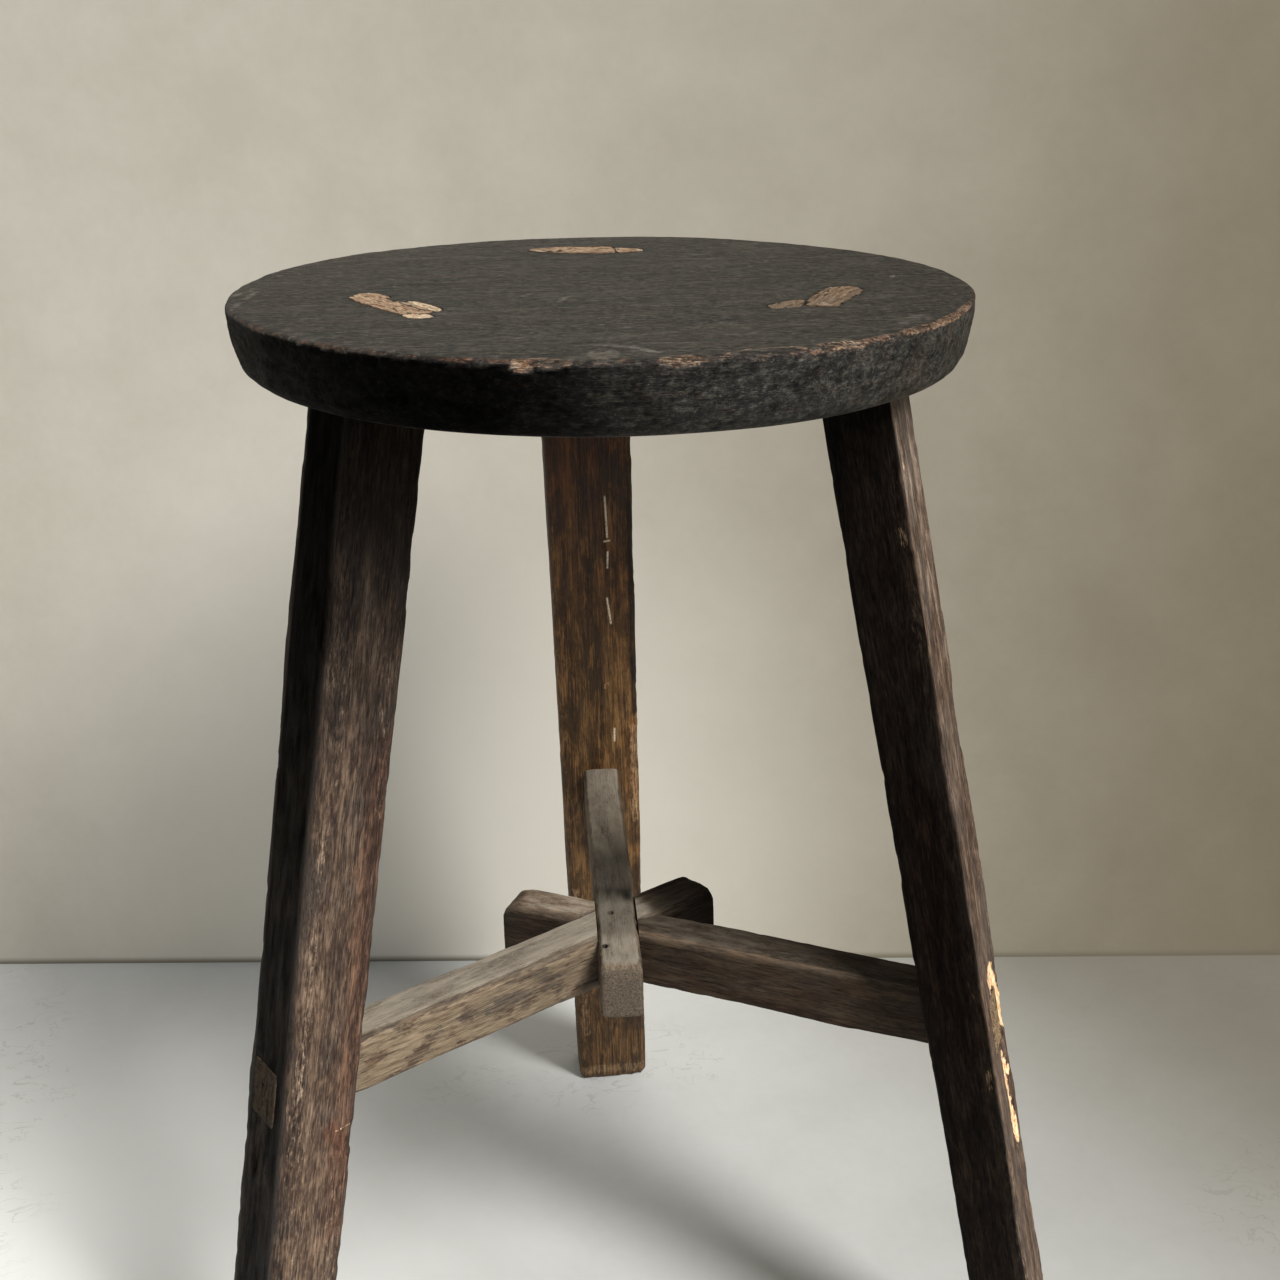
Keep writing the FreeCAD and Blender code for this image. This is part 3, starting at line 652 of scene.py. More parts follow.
def leg_masks(key, ob):
    L = LEGS[key]
    a, b, z = leg_local(L, coords(ob))
    A, B = leg_half(L, np.minimum(z, 496))
    sd = {"fl": 0.0, "fr": 40.0, "bk": 80.0}[key]
    near = (A - np.abs(a)) + (B - np.abs(b))
    nz = fbm(a / 9 + sd, b / 9, z / 38, 3)
    wear = smooth(6.5, 0.5, near + 3.0 * nz) * 0.46
    zero = np.zeros_like(a)
    broke, dirt_and_shade, dust_and_light, endg, warm = zero.copy(), zero.copy(), zero.copy(), zero.copy(), zero.copy()
    tone_and_shading = np.full_like(a, 0.5)

    def on(face, depth=4.0):
        u, inn = face_uv(face, a, b, A, B)
        return u, smooth(depth, depth * 0.5, inn)

    def stroke(face, pts, w, soft=1.0, depth=4.0):
        u, m = on(face, depth)
        jag = 0.35 * w * fbm(u / 2.2, z / 6.0, zero + sd, 2)
        return m * smooth(w + soft, max(w - soft, 0.05), poly_dist(u, z, pts) + jag)

    if key == "fl":
        u, m = on("out", 6.0)
        wear *= np.where((a > 0) & (b > 0), 1.3 + 0.35 * smooth(120, 180, z) * smooth(390, 340, z), 0.7)
        # worn run under the through tenon
        wear = np.maximum(wear, 0.85 * stroke("out", [(-4, 198), (-3, 182), (-1, 171)], 5.0, 3.0))
        wear = np.maximum(wear, 0.6 * stroke("out", [(-10, 226), (-11, 196), (-9, 168)], 3.0, 2.0))
        dirt_and_shade = np.maximum(dirt_and_shade, 0.95 * stroke("out", [(4.9, 219), (5.6, 196)], 0.9, 0.5))
        dirt_and_shade = np.maximum(dirt_and_shade, 0.85 * stroke("out", [(-14, 224), (-6, 227), (4, 221)], 0.8, 0.6))
        # pale streaks beside the worn corner
        wear = np.maximum(wear, 0.52 * stroke("ccw", [(13, 330), (12, 250), (13, 205)], 3.0, 3.0))
        wear = np.maximum(wear, 0.42 * stroke("ccw", [(10, 200), (8, 150), (9, 60)], 5.0, 5.0))
        wear = np.maximum(wear, 0.42 * stroke("ccw", [(-9, 175), (-8, 120), (-9, 10)], 7.0, 6.0))
        wear = np.maximum(wear, 0.40 * stroke("ccw", [(9, 400), (8, 350)], 3.0, 3.0))
        wear = np.maximum(wear, 0.40 * stroke("ccw", [(-8, 395), (-10, 330)], 4.0, 3.0))
        warm = np.maximum(warm, 0.55 * stroke("ccw", [(-10, 360), (-10, 150)], 6.0, 5.0))
        warm = np.maximum(warm, 0.8 * stroke("ccw", [(-4, 196), (-13, 182), (-13, 168)], 4.0, 2.0))
        broke = np.maximum(broke, 0.50 * stroke("ccw", [(-6, 194.5), (-14, 195)], 0.9, 0.8))
        # painted shade: the leg darkens towards the seat, where the seat's shadow falls
        tone_and_shading = np.interp(z, [0, 60, 200, 300, 350, 400, 450, 496], [1.0, 1.0, .96, .92, .68, .33, .15, .07])
        # painted shade: the outer face, turned away from the light, is darkened almost to black towards the top
        u2, m2 = on("out", 7.0)
        m2 = m2 * smooth(18, 10, b)
        tone_and_shading = tone_and_shading * (1 - m2) + m2 * (1 + 0.9 * fbm(b / 3.5, a / 3.5, z / 16, 3)) * np.interp(z, [0, 60, 180, 300, 400, 450, 496], [.125, .105, .075, .06, .028, .016, .01])
        # painted shade on the cw face
        u2, m2 = on("cw", 7.0)
        tone_and_shading = tone_and_shading * (1 - m2) + 0.3 * m2
    if key == "fr":
        wear *= np.where(a > 0, 1.2, 0.8)
        broke = np.maximum(broke, stroke("out", [(4, 236), (9, 228), (13, 214)], 6.5, 1.5, 6.0))
        broke = np.maximum(broke, stroke("out", [(0, 222), (1.5, 206)], 2.2, 1.0, 6.0))
        broke = np.maximum(broke, stroke("out", [(3, 199), (10, 188)], 2.4, 1.2, 6.0))
        broke = np.maximum(broke, stroke("out", [(4, 187), (8, 168), (10.5, 154)], 3.0, 1.0, 6.0))
        broke = np.maximum(broke, 0.75 * stroke("out", [(16.5, 211), (19.5, 186)], 3.0, 1.6, 6.0))
        warm = np.maximum(warm, 0.8 * stroke("out", [(16.5, 213), (19.5, 184)], 4.5, 2.0, 6.0))
        warm = np.maximum(warm, 0.5 * stroke("out", [(6, 232), (8, 214)], 3.0, 2.0, 6.0))
        dirt_and_shade = np.maximum(dirt_and_shade, 0.7 * stroke("out", [(-3.4, 236), (-3.2, 212)], 0.7, 0.5, 6.0))
        broke = np.maximum(broke, 0.62 * stroke("out", [(-9.4, 465), (-8.5, 461)], 1.2, 0.8))
        broke = np.maximum(broke, 0.55 * stroke("out", [(-19, 440), (-19, 434)], 1.4, 0.8, 6.0))
        broke = np.maximum(broke, 0.55 * stroke("cw", [(11, 204), (11, 196)], 1.3, 0.8, 6.0))
        wear = np.maximum(wear, 0.48 * stroke("out", [(-14, 170), (-16, 90), (-17, 10)], 5.0, 4.0, 6.0))
        wear = np.maximum(wear, 0.40 * stroke("out", [(14, 420), (15, 340), (14, 250)], 3.5, 3.0, 6.0))
        warm = np.maximum(warm, 0.45 * stroke("cw", [(0, 330), (2, 220)], 8.0, 6.0))
        tone_and_shading = np.interp(z, [0, 100, 200, 300, 430, 470, 496], [1.0, 1.0, 1.0, 1.0, 1.0, 1.0, .9])
        # partly pale dust, partly painted light: the outer face is lightened, more near the top, where the seat's
        # shadow falls
        dust_and_light = np.maximum(dust_and_light, (0.20 * smooth(330, 430, z) + 0.20) * on("out", 5.0)[1])
        # painted shade: the cw face loses its dust and is darkened
        u2, m2 = on("cw", 7.0)
        dust_and_light = dust_and_light * (1 - m2)
        tone_and_shading = tone_and_shading * (1 - m2) + m2 * np.interp(z, [0, 120, 260, 400, 496], [.11, .08, .052, .06, .05])
    if key == "bk":
        wear *= 0.75
        warm = 0.75 * smooth(250, 420, z) * (0.8 + 0.6 * fbm(a / 30, b / 14, z / 70, 2))
        warm = np.maximum(warm, 0.5 * stroke("in", [(-18, 262), (-18, 214)], 3.0, 2.0))
        dirt_and_shade = np.maximum(dirt_and_shade, 0.75 * stroke("in", [(-19.8, 396), (-19.6, 330), (-19.4, 271)], 1.7, 0.8, 5.0))
        wear = np.maximum(wear, 0.66 * stroke("in", [(-18.5, 262), (-18, 200)], 2.6, 1.6, 5.0))
        wear = np.maximum(wear, 0.72 * stroke("in", [(-18, 7), (0, 8), (17, 7)], 4.5, 3.0, 6.0))
        dirt_and_shade = np.maximum(dirt_and_shade, 0.8 * stroke("in", [(-5.5, 12), (-6.5, 3)], 0.7, 0.5, 6.0))
        wear = np.maximum(wear, 0.60 * stroke("in", [(17, 150), (16, 40)], 4.0, 3.0))
        broke = np.maximum(broke, 0.5 * stroke("in", [(-4.6, 291), (-4.6, 287)], 0.9, 0.6))
        # painted shade: darkest towards the seat, whose shadow falls there; darker towards the foot as well
        tone_and_shading = np.interp(z, [0, 60, 160, 300, 380, 440, 496], [.46, .48, .74, .98, .72, .32, .20])
    # painted shade just under the seat, where the leg meets it; the foot is darker over its lowest few millimetres, and
    # the mortise walls inside the leg get painted shade
    dirt_and_shade = np.maximum(dirt_and_shade, 0.55 * smooth(486, 497, z))
    endg = np.where(z < 1.0, smooth(1.0, 0.2, z), 0.0)
    dirt_and_shade = np.maximum(dirt_and_shade, 0.5 * smooth(3.0, 0.0, z) * (0.5 + nz))
    # painted shade on the mortise walls hidden inside the leg
    deep = np.maximum(np.abs(a) - A, np.abs(b) - B)
    hidden = smooth(-3.5, -5.5, deep) * (z > 8) * (z < 490)
    dirt_and_shade = np.maximum(dirt_and_shade, 0.9 * hidden)
    put_attr(ob, np.stack([a + sd * 3, b, z + sd * 11], 1), ma=(wear, broke, dirt_and_shade), mb=(dust_and_light, endg, warm), mc=(tone_and_shading,))


# ------------------------------------------------------------- stretchers
def bar_world(K, x, y, z):
    x, y, z = np.broadcast_arrays(x, y, z)
    q = math.radians(K["dip"])
    x1, z1 = x * math.cos(q) + z * math.sin(q), -x * math.sin(q) + z * math.cos(q)
    e, g = axes(K["az"])
    return np.stack([AX + x1 * e[0] + y * g[0], AY + x1 * e[1] + y * g[1], CROSS + z1], -1)


def bar_local(K, P):
    e, g = axes(K["az"])
    dx, dy = P[..., 0] - AX, P[..., 1] - AY
    x1, y, z1 = dx * e[0] + dy * e[1], dx * g[0] + dy * g[1], P[..., 2] - CROSS
    q = math.radians(K["dip"])
    return x1 * math.cos(q) - z1 * math.sin(q), y, x1 * math.sin(q) + z1 * math.cos(q)


def reach_to(key, y, z, where):
    """Bar x where the leg's local radial offset is where(A)."""
    K, L = BARS[key], LEGS[key]
    x = np.full(np.shape(y), K["reach"], float)
    for _ in range(5):
        a, b, zz = leg_local(L, bar_world(K, x, y, z))
        A, B = leg_half(L, zz)
        x = x + where(A) - a
    return x


def build_bar(key):
    K = BARS[key]
    sd = {"fl": 11.0, "fr": 31.0, "bk": 61.0}[key]
    w, h = K["w"], K["h"]
    n = int((K["reach"] + K["stub"]) / 1.35)
    s = np.concatenate([[0, 0.002, 0.005, 0.009], np.linspace(0.014, 1, n)])
    # corners: 0 (+y, top) 1 (-y, top) 2 (-y, bottom) 3 (+y, bottom)
    size = {"fl": (4.4, 2.2, 2.0, 2.4), "fr": (2.0, 3.6, 2.2, 1.8), "bk": (2.0, 2.2, 1.8, 1.8)}[key]
    rc = []
    for i, r0 in enumerate(size):
        r = r0 * (1 + 0.4 * fbm(s * 4.2 + sd, s * 0 + i * 3.3, s * 0, 2)) + 0.5 * np.maximum(0, pnoise(s * 17 + sd, s * 0 + i, s * 0))
        rc.append(np.clip(r, 0.9, 6.5))
    P, N = rounded(np.full(len(s), w / 2), np.full(len(s), h / 2), np.array(rc), 6, 20, 15, 0.6)
    # section plane is (y, z); the +x side of the rounded section is +y
    y, z = P[..., 0], P[..., 1] - h / 2
    ss_ = np.broadcast_to(s[:, None], y.shape)
    xe = reach_to(key, y, z, lambda A: -A + 1.3)
    x = -K["stub"] + ss_ * (xe + K["stub"])
    d = 0.35 * fbm(x / 60 + sd, y / 30, z / 30, 2) + 0.20 * fbm(x / 19, y / 6 + sd, z / 6, 3)
    d = d + 0.10 * fbm(x / 14, y / 1.5, z / 1.5 + sd, 2)
    d = d - 0.6 * smooth(4.5, 1.0, (w / 2 - np.abs(y)) + (h / 2 - np.abs(z + h / 2))) * np.maximum(0, fbm(x / 9 + sd, y / 4, z / 4, 3))
    # ends past the crossing are knocked about and rounded
    far = x + K["stub"]
    er = {"fl": 2.2, "fr": 3.4, "bk": 2.0}[key]
    t = np.clip(1 - far / er, 0, 1)
    d = d - er * 0.8 * (1 - np.sqrt(np.clip(1 - t * t, 0, 1)))
    ny, nz = N[..., 0], N[..., 1]
    y2, z2 = y + ny * d, z + nz * d
    # the visible ends dip towards their tips
    tipr = {"fl": 5.0, "fr": 11.0, "bk": 9.0}[key]
    tipd = {"fl": 1.4, "fr": 4.2, "bk": 1.8}[key]
    tp = np.clip(1 - far / tipr, 0, 1)
    z2 = z2 - tipd * tp * tp * smooth(-h * 0.55, 0, z2)
    if key == "fl":
        # its stub is worn away on the +y side of the tip
        z2 = z2 - 2.5 * np.clip(1 - far / 8, 0, 1) ** 2 * smooth(-3, 10, -y2) * smooth(-h * .6, 0, z2)
    W = bar_world(K, x, y2, z2)

    def cap(which, pts, tt):
        if which == 0:
            xx, yy, zz = bar_local(K, pts)
            saw = 0.16 * np.sin((zz * 0.82 + 0.035 * (yy + 14) ** 2) * 2 * math.pi / 2.3)
            rough = 0.35 * fbm(yy / 2.6, zz / 2.6, xx * 0 + sd, 3)
            out = -0.9 * (1 - tt ** 3) - saw - rough * (1 - 0.6 * tt)
            return bar_world(K, xx + out * 0.55, yy, zz)
        return pts
    ob = lofted(K["node"], list(W), (15, 4), cap)

    def box_tool(other, lo, hi, grow=0.13, swap=False):
        Q = BARS[other]
        e, g = axes(Q["az"])
        hw = Q["w"] / 2 + grow
        x0, x1 = -40.0, 40.0
        c = [(x0, -hw), (x1, -hw), (x1, hw), (x0, hw)]
        ring = np.array([(AX + u * e[0] + v * g[0], AY + u * e[1] + v * g[1]) for u, v in c])
        rings = [np.column_stack([ring, np.full(4, zz)]) for zz in (lo, hi)]
        V = np.concatenate(rings)
        quads = np.concatenate([grid_faces(2, 4), [[3, 2, 1, 0], [4, 5, 6, 7]]])
        return mesh_from("tool", V, quads, [])

    if key == "bk":
        tools = [box_tool("fl", 180, LAP_U), box_tool("fr", 180, LAP_U)]
    elif key == "fl":
        tools = [box_tool("bk", LAP_U, 260), box_tool("fr", 180, LAP_L)]
    else:
        tools = [box_tool("bk", LAP_U, 260), box_tool("fl", LAP_L, 260)]
    if key == "bk":
        # a nail hole near the end and a gouge at the crossing
        tools.append(round_tool(K, -24.5, 6.4, 1.15, 7.0, 9))
        tools.append(round_tool(K, 2.0, 2.5, 1.3, 1.1, 7))
    boolean(ob, tools)
    return ob


def round_tool(K, x, y, r, depth, n):
    """Small ragged hole going down from the top of a bar."""
    ang = np.linspace(0, 2 * math.pi, n, endpoint=False)
    rr = r * (1 + 0.22 * np.sin(ang * 2 + 1) + 0.1 * np.cos(ang * 3))
    rings = [bar_world(K, x + rr * k * np.cos(ang), y + rr * k * np.sin(ang), np.full(n, z))
             for z, k in ((2.0, 1.3), (-0.4, 1.05), (-depth * 0.6, 0.85), (-depth, 0.4))]
    return lofted("tool", rings, (2, 2))


def tenon_rings(key, a_from, a_to, grow, n, z_top=-2.5, z_gap=1.0, jag=0.25, seed=0.0):
    K = BARS[key]
    w, h = K["w"] - 2.5 + 2 * grow, K["h"]
    top, low = z_top + grow, -(h - z_gap) - grow
    hh = (top - low) / 2
    P, N = rounded(np.full(n, w / 2), np.full(n, hh), np.full((4, n), 0.9), 4, 16, 12, 0.3)
    y, z = P[..., 0], P[..., 1] + (top + low) / 2
    x0 = reach_to(key, y, z, a_from)
    x1 = reach_to(key, y, z, a_to)
    t = np.linspace(0, 1, n)[:, None]
    x = x0 + (x1 - x0) * t
    d = jag * fbm(x / 5 + seed, y / 2.4, z / 2.4, 2)
    return bar_world(K, x, y + N[..., 0] * d, z + N[..., 1] * d)


def build_bar_tenon(key):
    K, L = BARS[key], LEGS[key]
    proud = {"fl": 0.25, "fr": -0.7, "bk": 0.4}[key]
    W = tenon_rings(key, lambda A: -A - 5.0, lambda A: A + proud, 0.0, 30, seed=3.0)

    def cap(which, pts, t):
        if which == 1:
            e, g = axes(L["az"])
            k = 0.65 * fbm(pts[:, 2] / 1.5, pts[:, 0] / 5, pts[:, 1] / 5, 3) + 0.25 * fbm(pts[:, 2] / 5, pts[:, 0] / 3, pts[:, 1] / 3, 2)
            k = k * (1 - t ** 4)
            pts = pts.copy()
            pts[:, 0] += e[0] * k
            pts[:, 1] += e[1] * k
        return pts
    return lofted(K["node"] + "_tenon", list(W), (3, 14), cap)


def bar_masks(key, ob, tenon=False):
    K, L = BARS[key], LEGS[key]
    W = coords(ob)
    x, y, z = bar_local(K, W)
    w, h = K["w"], K["h"]
    sd = {"fl": 11.0, "fr": 31.0, "bk": 61.0}[key]
    zero = np.zeros_like(x)
    near = (w / 2 - np.abs(y)) + (h / 2 - np.abs(z + h / 2))
    nz = fbm(x / 26 + sd, y / 8, z / 8, 3)
    wear = 0.45 * smooth(5.0, 0.5, near + 2.5 * nz)
    up = smooth(-1.6, -0.3, z)
    dust_and_light = 0.8 * up
    endg = smooth(-K["stub"] + 1.3, -K["stub"] + 0.4, x)
    warm, broke, dirt_and_shade = zero.copy(), zero.copy(), zero.copy()
    tone_and_shading = zero + 0.5
    if key == "fl":
        dust_and_light *= 0.95
        sidey = smooth(w / 2 - 2.5, w / 2 - 0.5, y)
        wear = np.maximum(wear, sidey * (0.62 + 0.18 * smooth(40, 110, x) + 0.8 * fbm(x / 13, z / 9, zero + 2, 4)))
        wear = np.maximum(wear, sidey * 0.95 * smooth(130, 142, x + 5 * nz))
        warm = 0.35 * sidey * smooth(0.0, 0.5, fbm(x / 16, z / 8, zero + 9, 2) + 0.1)
        # painted light: the lit side and the top on the leg's side of the crossing are made lighter
        tone_and_shading = tone_and_shading + sidey * (0.04 + 0.12 * smooth(40, 110, x)) + 0.08 * up * smooth(-8, 4, x)
        # painted shadow: the stub past the crossing is darkened and loses wear and dust
        far = smooth(-12, -20, x)
        tone_and_shading = tone_and_shading * (1 - far) + far * (0.06 + 0.10 * smooth(-30, -12, x))
        wear = wear * (1 - 0.8 * far)
        dust_and_light = dust_and_light * (1 - 0.6 * far)
    if key == "fr":
        sidey = smooth(-w / 2 + 2.5, -w / 2 + 0.5, y)
        wear = wear * 0.55
        dust_and_light = dust_and_light * 0.65
        # painted shade on the -y side face, painted light on the stub's top, painted shadow of the front-right leg on
        # the top towards that leg
        tone_and_shading = tone_and_shading - 0.30 * sidey + 0.36 * up * (x < -10) - 0.32 * up * (x > 10)
        warm = 0.15 + 0.3 * sidey * smooth(-0.1, 0.3, nz)
    if key == "bk":
        # painted shadow: bands of the front-right leg's shadow darken the top near and beyond the crossing; painted
        # light on the top near the back leg
        tone_and_shading = tone_and_shading - 0.20 * up * smooth(-22, -12, x) * smooth(30, 12, x) - 0.33 * up * smooth(8, 22, x + 6 * nz) * smooth(72, 48, x + 8 * nz) + 0.34 * up * smooth(60, 88, x)
        tip = smooth(-K["stub"] + 9, -K["stub"] + 2, x)
        wear = np.maximum(wear, 0.62 * tip * smooth(-6, -1, z))
        wear = np.maximum(wear, 0.8 * smooth(3.4, 1.2, np.hypot(x + 29, (y - 8.0) * 1.4)))
        warm = 0.7 * smooth(5, 1, np.hypot(x + 30, y - 8.3))
        dirt_and_shade = np.maximum(dirt_and_shade, 0.9 * smooth(2.2, 1.2, np.hypot(x + 24.5, y - 6.4)))
        dirt_and_shade = np.maximum(dirt_and_shade, 0.7 * smooth(2.2, 1.0, np.hypot(x - 2.0, y - 2.5)) * up)
    # cross lap: the cut faces inside the joint are darkened as painted shade
    r = np.hypot(x, y)
    dirt_and_shade = np.maximum(dirt_and_shade, 0.85 * smooth(-0.3, -1.8, z) * smooth(14.5, 11.5, r) * (near > 3))
    if tenon:
        a, b, zz = leg_local(L, W)
        A, B = leg_half(L, zz)
        face = smooth(-2.0, -0.6, a - A)
        # the tenon's sides inside the leg are darkened as painted shade; only the end face shows its own colour
        wear, dust_and_light, dirt_and_shade = zero.copy(), zero.copy(), 0.8 * (1 - face)
        n2 = fbm(b / 1.8, zz / 6.0, zero + sd, 3)
        if key == "fr":
            broke = face * (0.75 + 0.5 * n2)
            warm = face * smooth(0.0, 0.5, fbm(b / 4, zz / 5, zero + 4, 2) + 0.1)
        else:
            broke = face * (0.12 + 0.35 * n2)
            wear = face * (0.8 + 0.4 * n2)
            warm = 0.5 * face
        dirt_and_shade = np.maximum(dirt_and_shade, face * 0.8 * smooth(0.25, 0.45, fbm(b / 1.4, zz / 9, zero + 7, 2)))
        if key == "bk":
            dirt_and_shade = np.maximum(dirt_and_shade, 0.3 * face)
        endg = 0.3 * face
        tone_and_shading = tone_and_shading - (0.18 if key == "fr" else 0.0) * face
        # painted shade: the front-left tenon end sits in the leg's shaded outer face and is darkened with it
        if key == "fl":
            tone_and_shading = tone_and_shading - 0.33 * face
            endg = zero
            warm = np.maximum(warm, 0.9 * face)
    put_attr(ob, np.stack([y + sd, z, x + sd * 7], 1), ma=(wear, broke, dirt_and_shade), mb=(dust_and_light, endg, warm), mc=(tone_and_shading,))


# ------------------------------------------------------------------- seat
TILT = math.tan(math.radians(0.45))      # the seat sits a touch higher on its left
TX = (0.9953, -0.0965)


def tilt(P, sign=1.0):
    P = np.array(P, float)
    P[..., 2] -= sign * TILT * ((P[..., 0] - AX) * TX[0] + (P[..., 1] - AY) * TX[1])
    return P


# breaks along the rim: angle, half length (mm), depth, slope of the break
# (90 = flat like the top, 0 = upright), raggedness
CHIPS = [
    (174.5, 7, 1.6, 55, .5), (186.0, 16, 1.5, 50, .5), (207.0, 10, 0.9, 45, .5),
    (222.0, 26, 0.8, 50, .4), (240.0, 18, 1.0, 48, .5), (249.0, 11, 1.3, 35, .8),
    (255.8, 4.5, 2.9, 38, .9), (258.8, 8.5, 2.4, 62, .7), (265.5, 10, 1.7, 68, .8),
    (271.0, 9, 1.2, 60, .7), (275.8, 8.0, 2.7, 58, 1.0), (280.3, 6.5, 2.2, 60, .9),
    (288.2, 16, 2.0, 73, .25), (296.8, 6.0, 2.6, 60, 1.1), (300.6, 7.0, 3.0, 55, 1.0),
    (307.5, 12, 1.3, 52, .9), (315.5, 14, 1.7, 55, 1.1), (324.0, 13, 1.8, 55, 1.1),
    (332.5, 15, 1.4, 52, .9), (343.0, 16, 1.0, 48, .5), (12.0, 20, 0.9, 45, .5),
    (48.0, 26, 0.7, 45, .5), (78.0, 16, 0.9, 45, .6), (118.0, 9, 1.2, 40, .5), (126.5, 7, 1.6, 40, .5),
    (136.0, 8, 1.3, 40, .5), (147.0, 9, 1.1, 40, .5), (160.0, 12, 0.8, 45, .5),
]


def rim_radius(th):
    """Outline of the seat at its upper edge."""
    r = SEAT_R - 0.15 + 0.75 * pnoise(np.cos(th) * 3.2, np.sin(th) * 3.2, 0 * th + 2.0)
    r = r + 0.30 * pnoise(np.cos(th) * 11, np.sin(th) * 11, 0 * th + 5.0)
    back = np.exp(-((np.degrees(th) % 360 - 135) / 26) ** 2)
    return r - 0.9 * back * np.maximum(0, pnoise(th * 19, 0 * th, 0 * th + 8.0) + 0.1)


def carve_rim(P, th, Rr):
    """Breaks the upper edge.  Returns moved points and a broken-wood mask."""
    r = np.hypot(P[:, 0], P[:, 1])
    h = P[:, 2] - Z_TOP
    mask = np.zeros(len(P))
    deg = np.degrees(th) % 360
    for ang, half, depth, slope, rag in CHIPS:
        t = ((deg - ang + 180) % 360 - 180) * math.pi / 180 * SEAT_R
        sel = np.abs(t) < half * 1.15
        sel &= (r > 118)
        if not sel.any():
            continue
        q = math.radians(slope)
        nr, nh = math.cos(q), math.sin(q)
        tt = t[sel] / half
        n1 = fbm(t[sel] / 2.6, h[sel] / 2.6, r[sel] / 2.6 + ang, 3)
        dep = 0.75 * depth * np.sqrt(np.clip(1 - np.abs(tt) ** 2.4, 0, 1)) * (1 + 0.35 * rag * n1)
        rel = (r[sel] - Rr[sel]) * nr + h[sel] * nh
        # splinters: steps that run along the grain (x)
        step = 0.35 * rag * np.round(2 * fbm(P[sel, 0] / 9, P[sel, 1] / 1.6, h[sel] / 2 + ang, 2)) / 2
        over = rel + dep + step * (dep > 0.15)
        cutm = over > 0
        mv = np.where(cutm, over, 0) * (dep > 0.02)
        r2 = r[sel] - nr * mv
        h2 = h[sel] - nh * mv
        k = r2 / np.maximum(r[sel], 1e-6)
        P[sel, 0] *= k
        P[sel, 1] *= k
        P[sel, 2] = Z_TOP + h2
        r[sel], h[sel] = r2, h2
        mask[sel] = np.maximum(mask[sel], smooth(0.05, 0.5, mv))
    return P, mask


DENTS = [(-70, 60, 9, 5, .5), (40, 30, 14, 8, .4), (-10, -60, 20, 9, .5), (75, -20, 12, 10, .4),
         (-110, -20, 10, 14, .5), (20, 95, 16, 10, .4), (27.4, -146, 3, 3, .8)]


